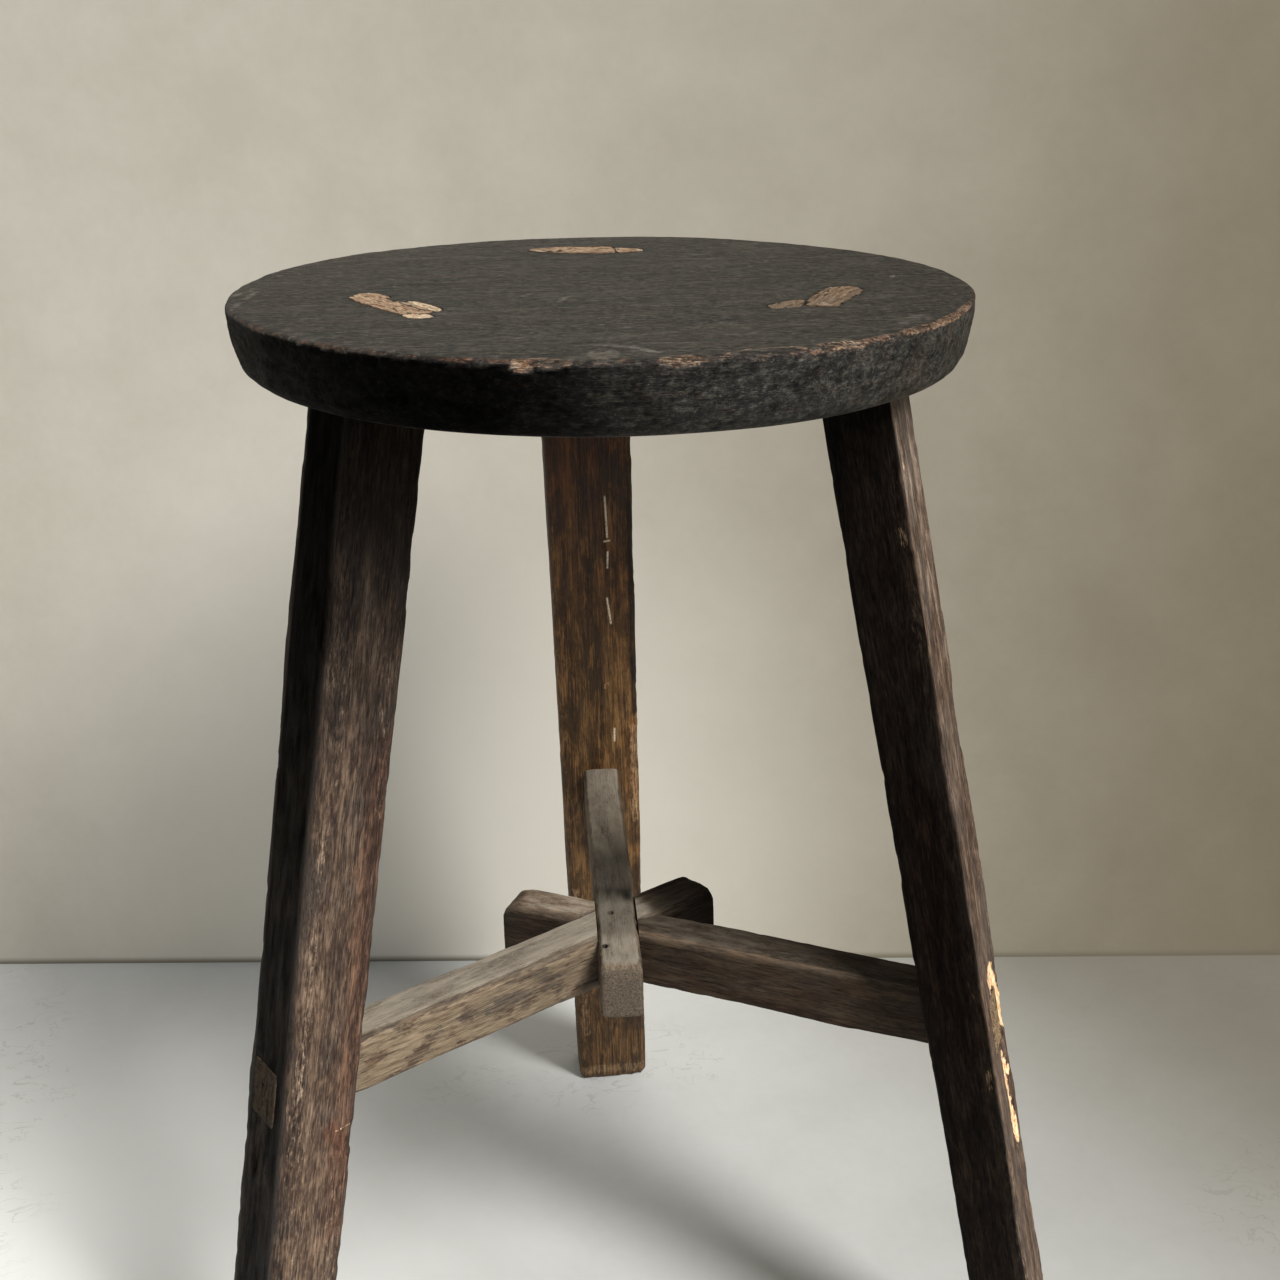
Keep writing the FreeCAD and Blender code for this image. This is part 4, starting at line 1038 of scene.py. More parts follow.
def build_seat():
    N = 208
    lin_ = np.linspace(-1, 1, N + 1)
    gx, gy = np.meshgrid(lin_, lin_, indexing="ij")
    big = np.abs(gx) > np.abs(gy)
    r = np.where(big, gx, gy)
    with np.errstate(divide="ignore", invalid="ignore"):
        ph = np.where(big, (math.pi / 4) * (gy / np.where(gx == 0, 1, gx)),
                      math.pi / 2 - (math.pi / 4) * (gx / np.where(gy == 0, 1, gy)))
    ux, uy = r * np.cos(ph), r * np.sin(ph)
    rad = np.hypot(ux, uy)
    th = np.arctan2(uy, ux)
    Rr = rim_radius(th)
    rho = 1.7 + 0.9 * pnoise(np.cos(th) * 5, np.sin(th) * 5, 0 * th + 1)
    g = rad * (1.28 - 0.28 * rad)
    rr = g * (Rr - rho)
    top = np.stack([rr * np.cos(th), rr * np.sin(th), np.full_like(rr, Z_TOP)], -1).reshape(-1, 3)
    idx = np.arange((N + 1) ** 2).reshape(N + 1, N + 1)
    quads = np.stack([idx[:-1, :-1], idx[1:, :-1], idx[1:, 1:], idx[:-1, 1:]], -1).reshape(-1, 4)
    rim = np.concatenate([idx[0, :-1], idx[:-1, -1], idx[-1, :0:-1], idx[:0:-1, 0]])
    order = np.argsort(np.arctan2(top[rim, 1], top[rim, 0]))
    rim = rim[order]
    M = len(rim)
    thm = np.arctan2(top[rim, 1], top[rim, 0])
    Rm = rim_radius(thm)
    rhom = 1.7 + 0.9 * pnoise(np.cos(thm) * 5, np.sin(thm) * 5, 0 * thm + 1)
    rings, rbase = [], []
    for k in range(1, 7):                       # worn arris
        al = math.radians(90 * k / 6)
        rings.append((Rm - rhom + rhom * math.sin(al), Z_TOP - rhom * (1 - math.cos(al))))
    hs = np.linspace(0, 1, 20)[1:]
    for q in hs:                                # side
        hgt = rhom + (22.6 - rhom) * q
        prof = 80 + np.sqrt(4900 - hgt ** 2) - 150
        rings.append((Rm + prof + 0.25 * q, Z_TOP - hgt))
    for k in range(1, 9):                       # lower round
        al = math.radians(-18.8 - (90 - 18.8) * k / 8)
        rings.append((138.69 + 8 * math.cos(al) + (Rm - 150) * (1 - 0.5 * k / 8), np.full(M, 504 + 8 * math.sin(al))))
    side = []
    for rq, zq in rings:
        side.append(np.stack([rq * np.cos(thm), rq * np.sin(thm), zq], -1))
    V = [top] + side
    off = len(top)
    first = np.concatenate([rim, rim[:1]])
    k = np.arange(M)
    k2 = (k + 1) % M
    allq = [quads, np.stack([rim[k], rim[k2], off + k2, off + k], 1)]
    nside = len(side)
    allq.append(grid_faces(nside, M) + off)
    base = off + (nside - 1) * M
    off += nside * M
    tris = []
    m = M
    r0 = 138.69
    prev = base
    thc = thm
    radii = [(136.4, M), (134.0, M // 2)] + [(x, M // 2) for x in np.arange(131.0, 66, -2.9)] \
        + [(62.5, M // 4)] + [(x, M // 4) for x in np.arange(57.5, 18, -4.6)] + [(14.0, M // 8), (8.0, M // 8)]
    for rq, cnt in radii:
        if cnt != m:
            thc = thc[::2]
        ring = np.stack([rq * np.cos(thc), rq * np.sin(thc), np.full(cnt, Z_LOW)], -1)
        V.append(ring)
        kk = np.arange(cnt)
        kn = (kk + 1) % cnt
        if cnt == m:
            allq.append(np.stack([prev + kk, prev + kn, off + kn, off + kk], 1))
        else:
            o0, o1, o2 = prev + 2 * kk, prev + 2 * kk + 1, prev + (2 * kk + 2) % m
            tris += [np.stack([o0, o1, off + kk], 1), np.stack([o1, off + kn, off + kk], 1),
                     np.stack([o1, o2, off + kn], 1)]
        prev, m = off, cnt
        off += cnt
    V.append(np.array([[0, 0, Z_LOW]]))
    kk = np.arange(m)
    tris.append(np.stack([prev + kk, prev + (kk + 1) % m, np.full(m, off)], 1))
    P = np.concatenate(V)
    allq, tris = np.concatenate(allq), np.concatenate(tris)
    # every face winds the same way; the top's grid is matched to the rings
    a0 = P[quads[0]]
    nrm = np.cross(a0[1] - a0[0], a0[2] - a0[0])
    if nrm[2] < 0:
        allq[:len(quads)] = allq[:len(quads), ::-1]
    s0 = allq[len(quads)]
    a1 = P[s0]
    n1 = np.cross(a1[1] - a1[0], a1[2] - a1[0])
    if (n1[:2] * a1[0][:2]).sum() + n1[2] < 0:
        allq[len(quads):] = allq[len(quads):, ::-1]
        tris = tris[:, ::-1]
    # relief
    r = np.hypot(P[:, 0], P[:, 1])
    th = np.arctan2(P[:, 1], P[:, 0])
    x, y, z = P[:, 0], P[:, 1], P[:, 2]
    topf = smooth(3.5, 0.5, Z_TOP - z)
    d = 0.40 * fbm(x / 85, y / 60, 0 * x + 3, 2) + 0.16 * fbm(x / 40, y / 9, 0 * x + 7, 3)
    d = d + 0.07 * fbm(x / 26, y / 1.9, 0 * x + 1, 2)
    for cx, cy, sx, sy, dp in DENTS:
        d = d - dp * np.exp(-((x - cx) / sx) ** 2 - ((y - cy) / sy) ** 2)
    P[:, 2] += d * topf - 0.25 * smooth(120, 150, r) * topf
    sidef = smooth(1.0, 4.0, Z_TOP - z) * smooth(Z_LOW - 0.5, Z_LOW + 3, z)
    # spokeshaved facets, open grain and knocks round the side
    ds = 0.45 * fbm(th * 9, z / 22, 0 * x + 2, 2) + 0.22 * fbm(x / 11, y / 11, z / 3.2, 3)
    ds = ds + 0.10 * fbm(x / 3.0, y / 3.0, z / 1.3, 2)
    ds = ds - 0.5 * np.maximum(0, fbm(x / 7 + 9, y / 7, z / 5, 2) - 0.35)
    for ang, zc, ha, hz, dp in ((238.3, 509.2, 4.6, 3.0, 1.5), (281.2, 520.6, 1.6, 3.4, 1.0),
                                (308, 518, 6, 1.2, .5), (262, 506, 9, 1.6, .5), (296, 511.5, 18, 1.1, .45),
                                (315, 509.6, 16, 1.0, .5), (200, 515, 8, 2, .5), (20, 510, 9, 2, .6), (100, 512, 10, 2, .6)):
        t = ((np.degrees(th) - ang + 180) % 360 - 180) * math.pi / 180 * 150
        q = (t / ha) ** 2 + ((z - zc) / hz) ** 2 + 0.4 * pnoise(t / 2, z / 2, 0 * z + ang)
        ds = ds - dp * np.clip(1 - q, 0, 1) ** 0.5
    k = 1 + ds * sidef / np.maximum(r, 1)
    P[:, 0] *= k
    P[:, 1] *= k
    under = smooth(Z_LOW + 1.0, Z_LOW, z) * smooth(140, 134, r)
    P[:, 2] += under * (0.30 * fbm(x / 30, y / 30, 0 * x + 5, 3) + 0.15 * fbm(x / 22, y / 3, 0 * x + 9, 2))
    P, _ = carve_rim(P, th, rim_radius(th))
    P[:, 0] += AX
    P[:, 1] += AY
    ob = mesh_from("seat_disc", tilt(P), allq, tris)
    tools = []
    for name, key, poly, z_lo, grow in ENDS:
        tools.append(plug(name, key, poly, Z_TOP + 3, z_lo - 0.6, grow, tool=True))
    boolean(ob, tools)
    return ob


# Outlines of the leg tenons, slips and wedges where they come up through the
# seat: (radial, tangential) from the seat's axis in each leg's direction.
ENDS = [
    ("front_left_leg_tenon", "fl", [(97.6, -25), (97.7, -9), (97.6, 1.3), (96.9, 10.4), (91.5, 11.3),
                                    (87.6, 15.0), (84.6, 11.8), (83.6, 3.5), (83.0, -8), (84.6, -13.5), (86.4, -25.6)], 500, 0.35),
    ("front_left_small_slip", "fl", [(95.6, -36.6), (91.8, -39.4), (88.0, -42.2), (83.4, -41), (81.6, -34), (82.0, -26.4), (86.2, -26.2), (97.2, -25.6)], 501, 0.2),
    ("front_left_inner_slip", "fl", [(79.4, -13.6), (77.9, -2.7), (78.8, 8.9), (81.8, 12.9), (83.9, 11.6), (83.0, 3.8), (82.5, -8), (82.4, -13.4)], 501, 0.25),
    ("front_left_outer_slip", "fl", [(97.4, 11.2), (91.8, 11.9), (88.0, 16.0), (89.4, 22.2), (94.5, 22.8), (98.0, 19.0)], 501, 0.4),
    ("front_right_leg_tenon", "fr", [(92.6, -15.6), (90.2, -8), (89.0, 0.6), (88.0, 12), (88.0, 26.0), (92.5, 31.2),
                                     (96.9, 32.6), (100.5, 29.6), (103.2, 24.6), (104.4, 13.3), (103.2, -3.6), (104.2, -13.2), (97.9, -15.2)], 500, 0.3),
    ("front_right_tenon_wedge", "fr", [(79.0, -21.5), (80.4, -13.3), (84.5, -4.2), (88.0, -2.6), (89.6, -9.5), (91.2, -15.6), (89.3, -21.6), (83.4, -26.8)], 501, 0.3),
    ("back_leg_tenon", "bk", [(92, -13.4), (91.0, -2), (93.5, 10), (96, 18), (101.5, 26.4), (106.5, 25.8), (110.5, 16),
                              (113.0, 5), (112.0, -6), (108.5, -13.2)], 500, 0.35),
    ("back_tenon_wedge", "bk", [(91.5, -14.0), (93.0, -20.5), (97.2, -26.6), (101.5, -25.4), (106.0, -19), (108.0, -13.9)], 501, 0.25),
]
LEAN = {"fl": (7.0, 3.0), "fr": (8.3, -2.5), "bk": (4.7, -1.0)}


def resample(poly, step, jag, seed, grow=0.0):
    """Even points round a polygon, a little ragged; grow moves them outward."""
    p = np.array(list(poly) + [poly[0]], float)
    # cut the corners once so that the outline isn't mechanical
    q = []
    for i in range(len(poly)):
        a, b = p[i], p[i + 1]
        q += [a + (b - a) * 0.14, a + (b - a) * 0.86]
    q = np.array(q + [q[0]])
    seg = np.hypot(*(q[1:] - q[:-1]).T)
    s = np.concatenate([[0], np.cumsum(seg)])
    n = max(24, int(s[-1] / step))
    t = np.linspace(0, s[-1], n, endpoint=False)
    pts = np.stack([np.interp(t, s, q[:, 0]), np.interp(t, s, q[:, 1])], 1)
    tan = np.roll(pts, -1, 0) - np.roll(pts, 1, 0)
    nrm = np.stack([tan[:, 1], -tan[:, 0]], 1)
    nrm /= np.maximum(np.linalg.norm(nrm, axis=1), 1e-9)[:, None]
    area = 0.5 * np.sum(pts[:, 0] * np.roll(pts[:, 1], -1) - np.roll(pts[:, 0], -1) * pts[:, 1])
    if area < 0:
        nrm = -nrm
    off = grow + jag * fbm(pts[:, 0] / 1.7 + seed, pts[:, 1] / 1.7, 0 * pts[:, 0], 2)
    return pts + nrm * off[:, None]


def plug(name, key, poly, z_hi, z_lo, grow, tool=False):
    """The upright piece standing in the seat, or the tool that cuts its hole."""
    e, g = axes(LEGS[key]["az"])
    sd = sum(ord(c) for c in name) % 37
    step = 0.9 if tool else 0.62
    pts = resample(poly, step, 0.75 if tool else 0.42, sd + (4 if tool else 0), grow + 0.12 if tool else -0.10)
    c = pts.mean(0)
    lr, ls = LEAN[key]

    def world(p, z):
        drop = (Z_TOP - z) / 28.0
        rr, tt = p[:, 0] + lr * drop, p[:, 1] + ls * drop
        return np.stack([AX + rr * e[0] + tt * g[0], AY + rr * e[1] + tt * g[1], np.broadcast_to(z, rr.shape)], -1)
    if tool:
        ends = [tilt(world(c + (pts - c) * (1.0 if z > 515 else 0.985), np.full(len(pts), z))) for z in (z_lo, z_hi)]
        return prism("tool", ends[0], ends[1])
    rings = [tilt(world(pts, np.full(len(pts), z))) for z in np.linspace(z_lo, z_hi, 10)]

    def cap(which, P, t):
        if which == 0:
            return P
        P = P.copy()
        u = (P[:, 0] - AX) * e[0] + (P[:, 1] - AY) * e[1]
        v = (P[:, 0] - AX) * g[0] + (P[:, 1] - AY) * g[1]
        # torn, fibrous end: ridges run along the tenon's length
        k = 0.50 * fbm(u / 1.5 + sd, v / 7.5, 0 * u, 3) + 0.30 * fbm(u / 5, v / 5, 0 * u + sd, 2)
        k = k + 0.22 * fbm(u / 0.8, v / 2.4, 0 * u + 3, 2)
        P[:, 2] += k * (1 - t ** 6)
        return P
    return lofted(name, rings, (3, 16), cap)


def plug_masks(name, key, ob):
    e, g = axes(LEGS[key]["az"])
    P = tilt(coords(ob), -1)
    u = (P[:, 0] - AX) * e[0] + (P[:, 1] - AY) * e[1]
    v = (P[:, 0] - AX) * g[0] + (P[:, 1] - AY) * g[1]
    z = P[:, 2]
    zero = 0 * u
    sd = sum(ord(c) for c in name) % 37
    top = smooth(Z_TOP - 1.8, Z_TOP - 0.7, z)
    pale = name in ("front_left_inner_slip", "front_left_outer_slip")
    n1 = fbm(u / 1.6 + sd, v / 8, zero, 3)
    broke = top * ((0.95 if pale else 0.28) + (0.2 if pale else 0.34) * n1)
    wear = top * (0.85 + 0.35 * n1)
    # the sides below the top sit in the seat's hole and get painted shade; the top gets patchy grime
    dirt_and_shade = np.maximum(0.85 * (1 - top), top * 0.85 * smooth(0.32, 0.5, fbm(u / 1.2 + sd, v / 6, zero + 4, 2)))
    warm = top * (0.1 if pale else 0.35) * smooth(-0.2, 0.4, fbm(u / 4, v / 12 + sd, zero, 2))
    dust_and_light = zero.copy()
    tone_and_shading = zero + 0.5
    if name == "front_left_leg_tenon":
        # a dark gap beside a grey splinter
        dirt_and_shade = np.maximum(dirt_and_shade, 0.95 * smooth(1.3, 0.6, poly_dist(u, v, [(85.2, -24), (85.8, -16)])) * top)
        dust_and_light = top * 0.7 * smooth(2.0, 0.8, poly_dist(u, v, [(84.0, -12), (84.2, -4)]))
        dirt_and_shade = np.maximum(dirt_and_shade, 0.9 * smooth(0.8, 0.3, poly_dist(u, v, [(85.8, -12), (86.2, 2), (86.5, 9)])) * top)
    if name.startswith("back"):
        tone_and_shading = zero + 0.44
        dust_and_light = top * 0.35
        for cu, cv in ((97.5, 12.5), (98.5, 17.0)):
            dirt_and_shade = np.maximum(dirt_and_shade, 0.97 * smooth(2.2, 1.1, np.hypot((u - cu) * 0.7, v - cv)) * top)
        dirt_and_shade = np.maximum(dirt_and_shade, 0.85 * smooth(1.4, 0.5, poly_dist(u, v, [(99, -22), (100, -15)])) * top)
        dirt_and_shade = np.maximum(dirt_and_shade, 0.8 * smooth(2.4, 1.2, poly_dist(u, v, [(111, -6), (112, 5)])) * top)
        broke = np.maximum(broke, 0.95 * top * smooth(2.4, 1.0, np.hypot((u - 98.5) * 0.7, v - 21.5)))
        broke = np.maximum(broke, 0.9 * top * smooth(2.4, 1.0, np.hypot((u - 97.8) * 0.7, v + 25)))
    if name == "front_right_leg_tenon":
        dust_and_light = top * 0.45
        dirt_and_shade = np.maximum(dirt_and_shade, 0.97 * smooth(1.6, 0.8, poly_dist(u, v, [(91.4, -13.6), (91.0, -9)])) * top)
        broke = np.maximum(broke, 0.8 * top * smooth(5, 2, np.hypot(u - 98, v + 11)))
    if key == "fr":
        tone_and_shading = zero + 0.24
    if name == "front_right_tenon_wedge":
        dust_and_light = top * 0.55
    put_attr(ob, np.stack([u * 1.0 + sd, z, v + sd * 9], 1), ma=(wear, broke, dirt_and_shade), mb=(dust_and_light, zero, warm), mc=(tone_and_shading,))


# smears, bruises and scrapes on the seat top, about its axis
SMEARS = [
    ([(-147.5, -6), (-143, 8)], 2.2, .9), ([(-144, -38), (-142, -16), (-138.5, 4)], 1.8, .9),
    ([(-135.2, 46.7), (-133.5, 46)], 1.6, .8), ([(-107.6, -81.3), (-104.5, -83.3)], 2.0, .95),
    ([(-38.1, -107.9), (-35.2, -107)], 1.4, .95), ([(-51.5, -6), (-43.4, -10.8)], 1.6, .55),
    ([(-19, -36.4), (-15, -25.4)], 1.3, .75), ([(-37.8, 38), (-30.5, 38)], 2.2, .55),
    ([(-14, 66.6), (0.4, 59.8)], 2.6, .5), ([(2.4, -93.8), (9, -94.9)], 2.8, .6),
    ([(30.3, -86.4), (31.5, -86)], 2.2, .6), ([(120, 0), (123.6, 9.3)], 1.3, .85),
    ([(101, -97), (110.3, -83), (112.6, -88.6)], 5.0, .55), ([(91.4, -57), (84, -83)], 6.0, .35),
    ([(-100, 70), (-70, 86)], 7.0, .4), ([(-60, -84), (-52, -80)], 4.0, .35),
    ([(-118, -60), (-104, -58)], 5.0, .35), ([(-9.8, -124), (0, -130), (8, -138)], 2.4, .75),
    ([(-60, 20), (-20, 30)], 9.0, .25), ([(50, 40), (90, 52)], 9.0, .25),
    ([(-20, 100), (30, 104)], 8.0, .3),
]


def seat_masks(ob):
    P = tilt(coords(ob), -1)
    x, y, z = P[:, 0] - AX, P[:, 1] - AY, P[:, 2]
    r, th = np.hypot(x, y), np.arctan2(y, x)
    deg = np.degrees(th) % 360
    zero = np.zeros_like(x)
    Rr = rim_radius(th)
    # distance from the sharp edge the rim once had
    e0 = np.hypot(np.maximum(0, Rr - r), Z_TOP - z)
    nz = fbm(x / 7, y / 7, z / 4, 3)
    upper = (z > Z_TOP - 8) & (r > 130)
    # how strongly the rim is worn, by angle
    amt = np.interp(deg, [0, 40, 90, 120, 150, 172, 196, 210, 225, 250, 262, 285, 300, 320, 345, 360],
                    [.62, .35, .25, .35, .4, .7, .7, .75, .72, .8, .8, .85, .98, 1.0, .85, .62])
    wear = smooth(2.8, 0.7, e0 + 2.2 * nz + 0.6) * amt * 0.72 * upper
    wear = np.maximum(wear, 0.74 * smooth(2.0, 0.7, e0 + 0.9 * nz) * amt * upper)
    P0 = np.stack([x, y, z], 1)
    _, _m = carve_rim(P0.copy(), th, Rr)
    # recover how far each point lies inside the unbroken edge
    carved = np.zeros_like(x)
    for ang, half, depth, slope, rag in CHIPS:
        t = ((deg - ang + 180) % 360 - 180) * math.pi / 180 * SEAT_R
        q = math.radians(slope)
        rel = (r - Rr) * math.cos(q) + (z - Z_TOP) * math.sin(q)
        dep = 0.75 * depth * np.sqrt(np.clip(1 - (np.abs(t) / half) ** 2.4, 0, 1))
        on_plane = smooth(1.15, 0.45, np.abs(rel + dep)) * smooth(0.15, 0.7, dep)
        fresh = {255.8: 1.0, 258.8: .75, 265.5: .42, 271.0: .3, 275.8: .75, 280.3: .62, 288.2: .30,
                 296.8: .7, 300.6: .72, 307.5: .62, 315.5: .9, 324.0: .95, 332.5: .85, 343.0: .55}.get(ang, 0.22)
        carved = np.maximum(carved, on_plane * fresh * 0.72 * upper)
    broke = carved
    warm = smooth(4.6, 1.4, e0 + nz) * upper * np.interp(deg, [0, 60, 150, 200, 216, 262, 282, 295, 312, 345, 360],
                                                    [.5, .1, .1, .3, .9, .7, .95, .85, .6, 1.0, .5])
    topf = smooth(Z_TOP - 1.8, Z_TOP - 0.8, z)
    dust_and_light = 0.10 * topf + 0.10 * smooth(Z_TOP - 4, Z_TOP - 14, z)
    for pts, w, amt2 in SMEARS:
        dd = poly_dist(x, y, pts) + 0.35 * w * fbm(x / 3.2, y / 3.2, zero + w, 2)
        dust_and_light = np.maximum(dust_and_light, amt2 * (1.5 if amt2 > 0.7 else 1.0) * smooth(w, w * 0.25, dd) * (topf if amt2 < .9 else 1.0))
    # pale bruise by the front edge
    low = smooth(Z_TOP - 7, Z_TOP - 4, z)
    q = 0.9 * nz + inside(x, y, [(-15.5, -137), (-11, -130.5), (-4.6, -133.7), (-4.5, -146), (-15, -147)])
    broke = np.maximum(broke, 0.46 * smooth(-0.8, 1.2, q) * low)
    dust_and_light = np.maximum(dust_and_light, 0.8 * smooth(-0.8, 1.2, q) * low)
    # white rub marks to the right of the front
    for pts in ([(29.7, -144), (40.4, -135.8), (54.3, -134.8), (61.2, -138.8)],):
        broke = np.maximum(broke, 0.6 * smooth(1.1, 0.4, poly_dist(x, y, pts)) * topf)
    t = ((deg - 238.3 + 180) % 360 - 180) * math.pi / 180 * 150
    knock = smooth(1.1, 0.5, np.sqrt((t / 3.2) ** 2 + ((z - 509.2) / 2.3) ** 2) + 0.9 * fbm(t / 2.2, z / 1.6, zero, 3))
    dust_and_light = np.maximum(dust_and_light, 0.6 * knock)
    wear = np.maximum(wear, 0.60 * knock)
    for ang, zc, ha, hz in ((307, 519.7, 1.0, .9), (308.8, 516.4, 1.5, .6), (305.5, 518.8, .9, .6), (219, 522.5, .8, 2.2), (236, 520.5, .8, 2.6)):
        t = ((deg - ang + 180) % 360 - 180) * math.pi / 180 * 150
        dust_and_light = np.maximum(dust_and_light, 0.95 * smooth(1.3, 0.6, np.hypot(t / ha, (z - zc) / hz)) * (r > 140))
    side = smooth(0.7, 2.0, Z_TOP - z) * (z > Z_LOW + 0.4)
    dust_and_light = np.maximum(dust_and_light, side * np.interp(deg, [0, 60, 150, 200, 240, 252, 290, 330, 360],
                                               [.20, .15, .10, .05, .12, .20, .22, .26, .20]) * (0.9 + 0.8 * fbm(x / 9, y / 9, z / 4, 2)))
    wear = np.maximum(wear, side * 0.34 * smooth(0.0, 0.5, fbm(x / 14, y / 14, z / 6, 3)))
    warm = np.maximum(warm, 0.30 * side * smooth(0.05, 0.4, fbm(x / 22 + 3, y / 22, z / 9, 2)))
    # painted light on the top: darker towards the right as the light falls off, a little lighter towards the back where
    # the sheen shows
    tone_and_shading = 0.5 - 0.14 * topf + 0.03 * smooth(40, 140, y) * topf - 0.06 * smooth(40, 140, x) * topf
    bare = np.maximum(smooth(0.08, 0.35, broke), smooth(0.25, 0.6, wear) * smooth(3.0, 1.6, e0))
    side = side * (1 - 0.9 * bare)
    # painted shade on the side: nearly black on the left, away from the light, lighter towards the right
    tone_and_shading = tone_and_shading * (1 - side) + side * np.interp(deg, [0, 120, 170, 200, 222, 240, 250, 260, 268, 276, 290, 320, 360],
                                                [.38, .24, .08, .05, .03, .02, .02, .05, .16, .29, .34, .40, .39])
    tone_and_shading = tone_and_shading * (1 + 0.5 * side * fbm(x / 2.4, y / 2.4, z / 1.9, 3) + 0.40 * side * fbm(x / 12, y / 12, z / 6, 2))
    dirt_and_shade = np.zeros_like(x)
    # grime round the tenon ends on the top, and painted shade on the walls of their holes in the seat
    for name, key, poly, zl, gr in ENDS:
        e, g = axes(LEGS[key]["az"])
        u, v = x * e[0] + y * e[1], x * g[0] + y * g[1]
        q = inside(u, v, poly)
        dirt_and_shade = np.maximum(dirt_and_shade, 0.55 * smooth(-2.2, -0.2, q + 0.6 * nz) * topf)
        dirt_and_shade = np.maximum(dirt_and_shade, (q > -1.2) * (z < Z_TOP - 1.4) * (z > Z_LOW + 1) * (r < 130) * 0.9)
    crackl = [([(28.5, -150), (42.8, -144.8), (60, -143.4)], .6), ([(-24, -141), (-33, -138)], .7),
              ([(31, -141.5), (50, -139.5)], .5)]
    for pts, w in crackl:
        dirt_and_shade = np.maximum(dirt_and_shade, 0.9 * smooth(w + 0.5, w * 0.5, poly_dist(x, y, pts)) * topf)
    under = (z < Z_LOW + 1.2)
    wear = np.where(under, 0.35 + 0.3 * nz, wear)
    dust_and_light = np.where(under, 0.30, dust_and_light)
    put_attr(ob, np.stack([y, z, x], 1), ma=(wear, broke, dirt_and_shade), mb=(dust_and_light, zero, warm), mc=(tone_and_shading,))


def seat_extra(col, v):
    """Fine scratches, brown rubs and pale bloom on the dark top."""
    S, g = v["S"], v["g"]
    # long brown rubs
    rub = S.noise(g, (0.055, 0.055, 0.018), 4, 0.6, 0.8, 71)
    col = S.mix(S.m("MULTIPLY", S.ss(rub, 0.50, 0.64), 0.6), col, lin(66, 54, 42))
    blot = S.noise(g, (0.14, 0.14, 0.06), 5, 0.72, 0.6, 73)
    col = S.mix(S.m("MULTIPLY", S.ss(blot, 0.50, 0.38), 0.75), col, lin(30, 28, 24))
    col = S.mix(S.m("MULTIPLY", S.ss(blot, 0.54, 0.70), 0.45), col, lin(92, 87, 77))
    bloom = S.noise(g, (0.07, 0.07, 0.03), 5, 0.7, 0.8, 75)
    col = S.mix(S.m("MULTIPLY", S.ss(bloom, 0.54, 0.72), 0.40), col, lin(104, 100, 92))
    smut = S.noise(g, (0.42, 0.42, 0.26), 5, 0.85, 0.0, 77)
    col = S.mix(S.m("MULTIPLY", S.ss(smut, 0.51, 0.60), 0.5), col, lin(116, 111, 101))
    col = S.mix(S.m("MULTIPLY", S.ss(smut, 0.49, 0.41), 0.7), col, lin(16, 14, 12))
    # two families of hairline scratches
    for s, amt, seed in (((0.55, 0.55, 0.035), 0.55, 81), ((0.05, 0.05, 0.8), 0.30, 85)):
        n = S.noise(g, s, 2, 0.5, 0.6, seed)
        f = S.ss(S.m("ABSOLUTE", S.m("SUBTRACT", n, 0.5)), 0.012, 0.003)
        f = S.m("MULTIPLY", f, S.ss(v["speck"], 0.46, 0.62))
        col = S.mix(S.m("MULTIPLY", f, amt), col, lin(150, 144, 130))
    sp = S.voronoi(g, (0.16, 0.16, 0.16), seed=9)
    f = S.m("MULTIPLY", S.ss(sp, 0.10, 0.05), S.ss(v["patch"], 0.5, 0.6))
    col = S.mix(S.m("MULTIPLY", f, 0.5), col, lin(160, 155, 142))
    return col


def back_leg_extra(col, v):
    """White scratch dashes down the inner face of the back leg."""
    S = v["S"]
    xyz = S.sep(v["g"], "ShaderNodeSeparateXYZ")
    a, b, z = S.m("SUBTRACT", xyz[0], 240.0), xyz[1], S.m("SUBTRACT", xyz[2], 880.0)
    total = None
    for p in ((-7.6, 401, -8.1, 377.5), (-8.1, 370, -7.7, 360), (-6.9, 343, -8.5, 327), (-8.4, 262, -8.1, 253), (-9.6, 376, -6.2, 375.5)):
        d = S.dash(b, z, *p, 0.55)
        total = d if total is None else S.m("MAXIMUM", total, d)
    total = S.m("MULTIPLY", total, S.ss(a, -10.0, -12.0))
    total = S.m("MULTIPLY", total, S.ss(v["grit"], 0.38, 0.52, 0.35, 1.0))
    return S.mix(S.m("MULTIPLY", total, 0.9), col, lin(214, 200, 176))


# -------------------------------------------------------------- materials
M_SEAT = wood("seat_stained", (14, 12, 11), (43, 40, 35), (80, 74, 64), (64, 61, 54),
              [(74, 34, 20), (128, 76, 50), (186, 148, 114)], [(52, 32, 22), (178, 128, 90), (236, 218, 192)],
              dust=(142, 136, 124), rough=(0.42, 0.76), spec=0.45, fig=0.14, grey_amt=0.45, fleck=0.34,
              wear_k=0.50, bump=1.0, crack=0.35, extra=seat_extra, seed=1.0)
M_LEG = wood("leg_stained", (29, 20, 15), (66, 50, 39), (108, 88, 70), (82, 73, 66),
             [(80, 62, 50), (134, 112, 92), (176, 156, 132)], [(120, 74, 46), (222, 180, 132), (246, 222, 186)],
             dust=(156, 142, 126), rough=(0.50, 0.80), spec=0.4, fig=0.22, grey_amt=0.45, fleck=0.26, streak=0.15, fine=0.85,
             wear_k=0.60, bump=0.8, crack=0.6, tan=(122, 99, 79), tan_amt=0.28, seed=2.0)
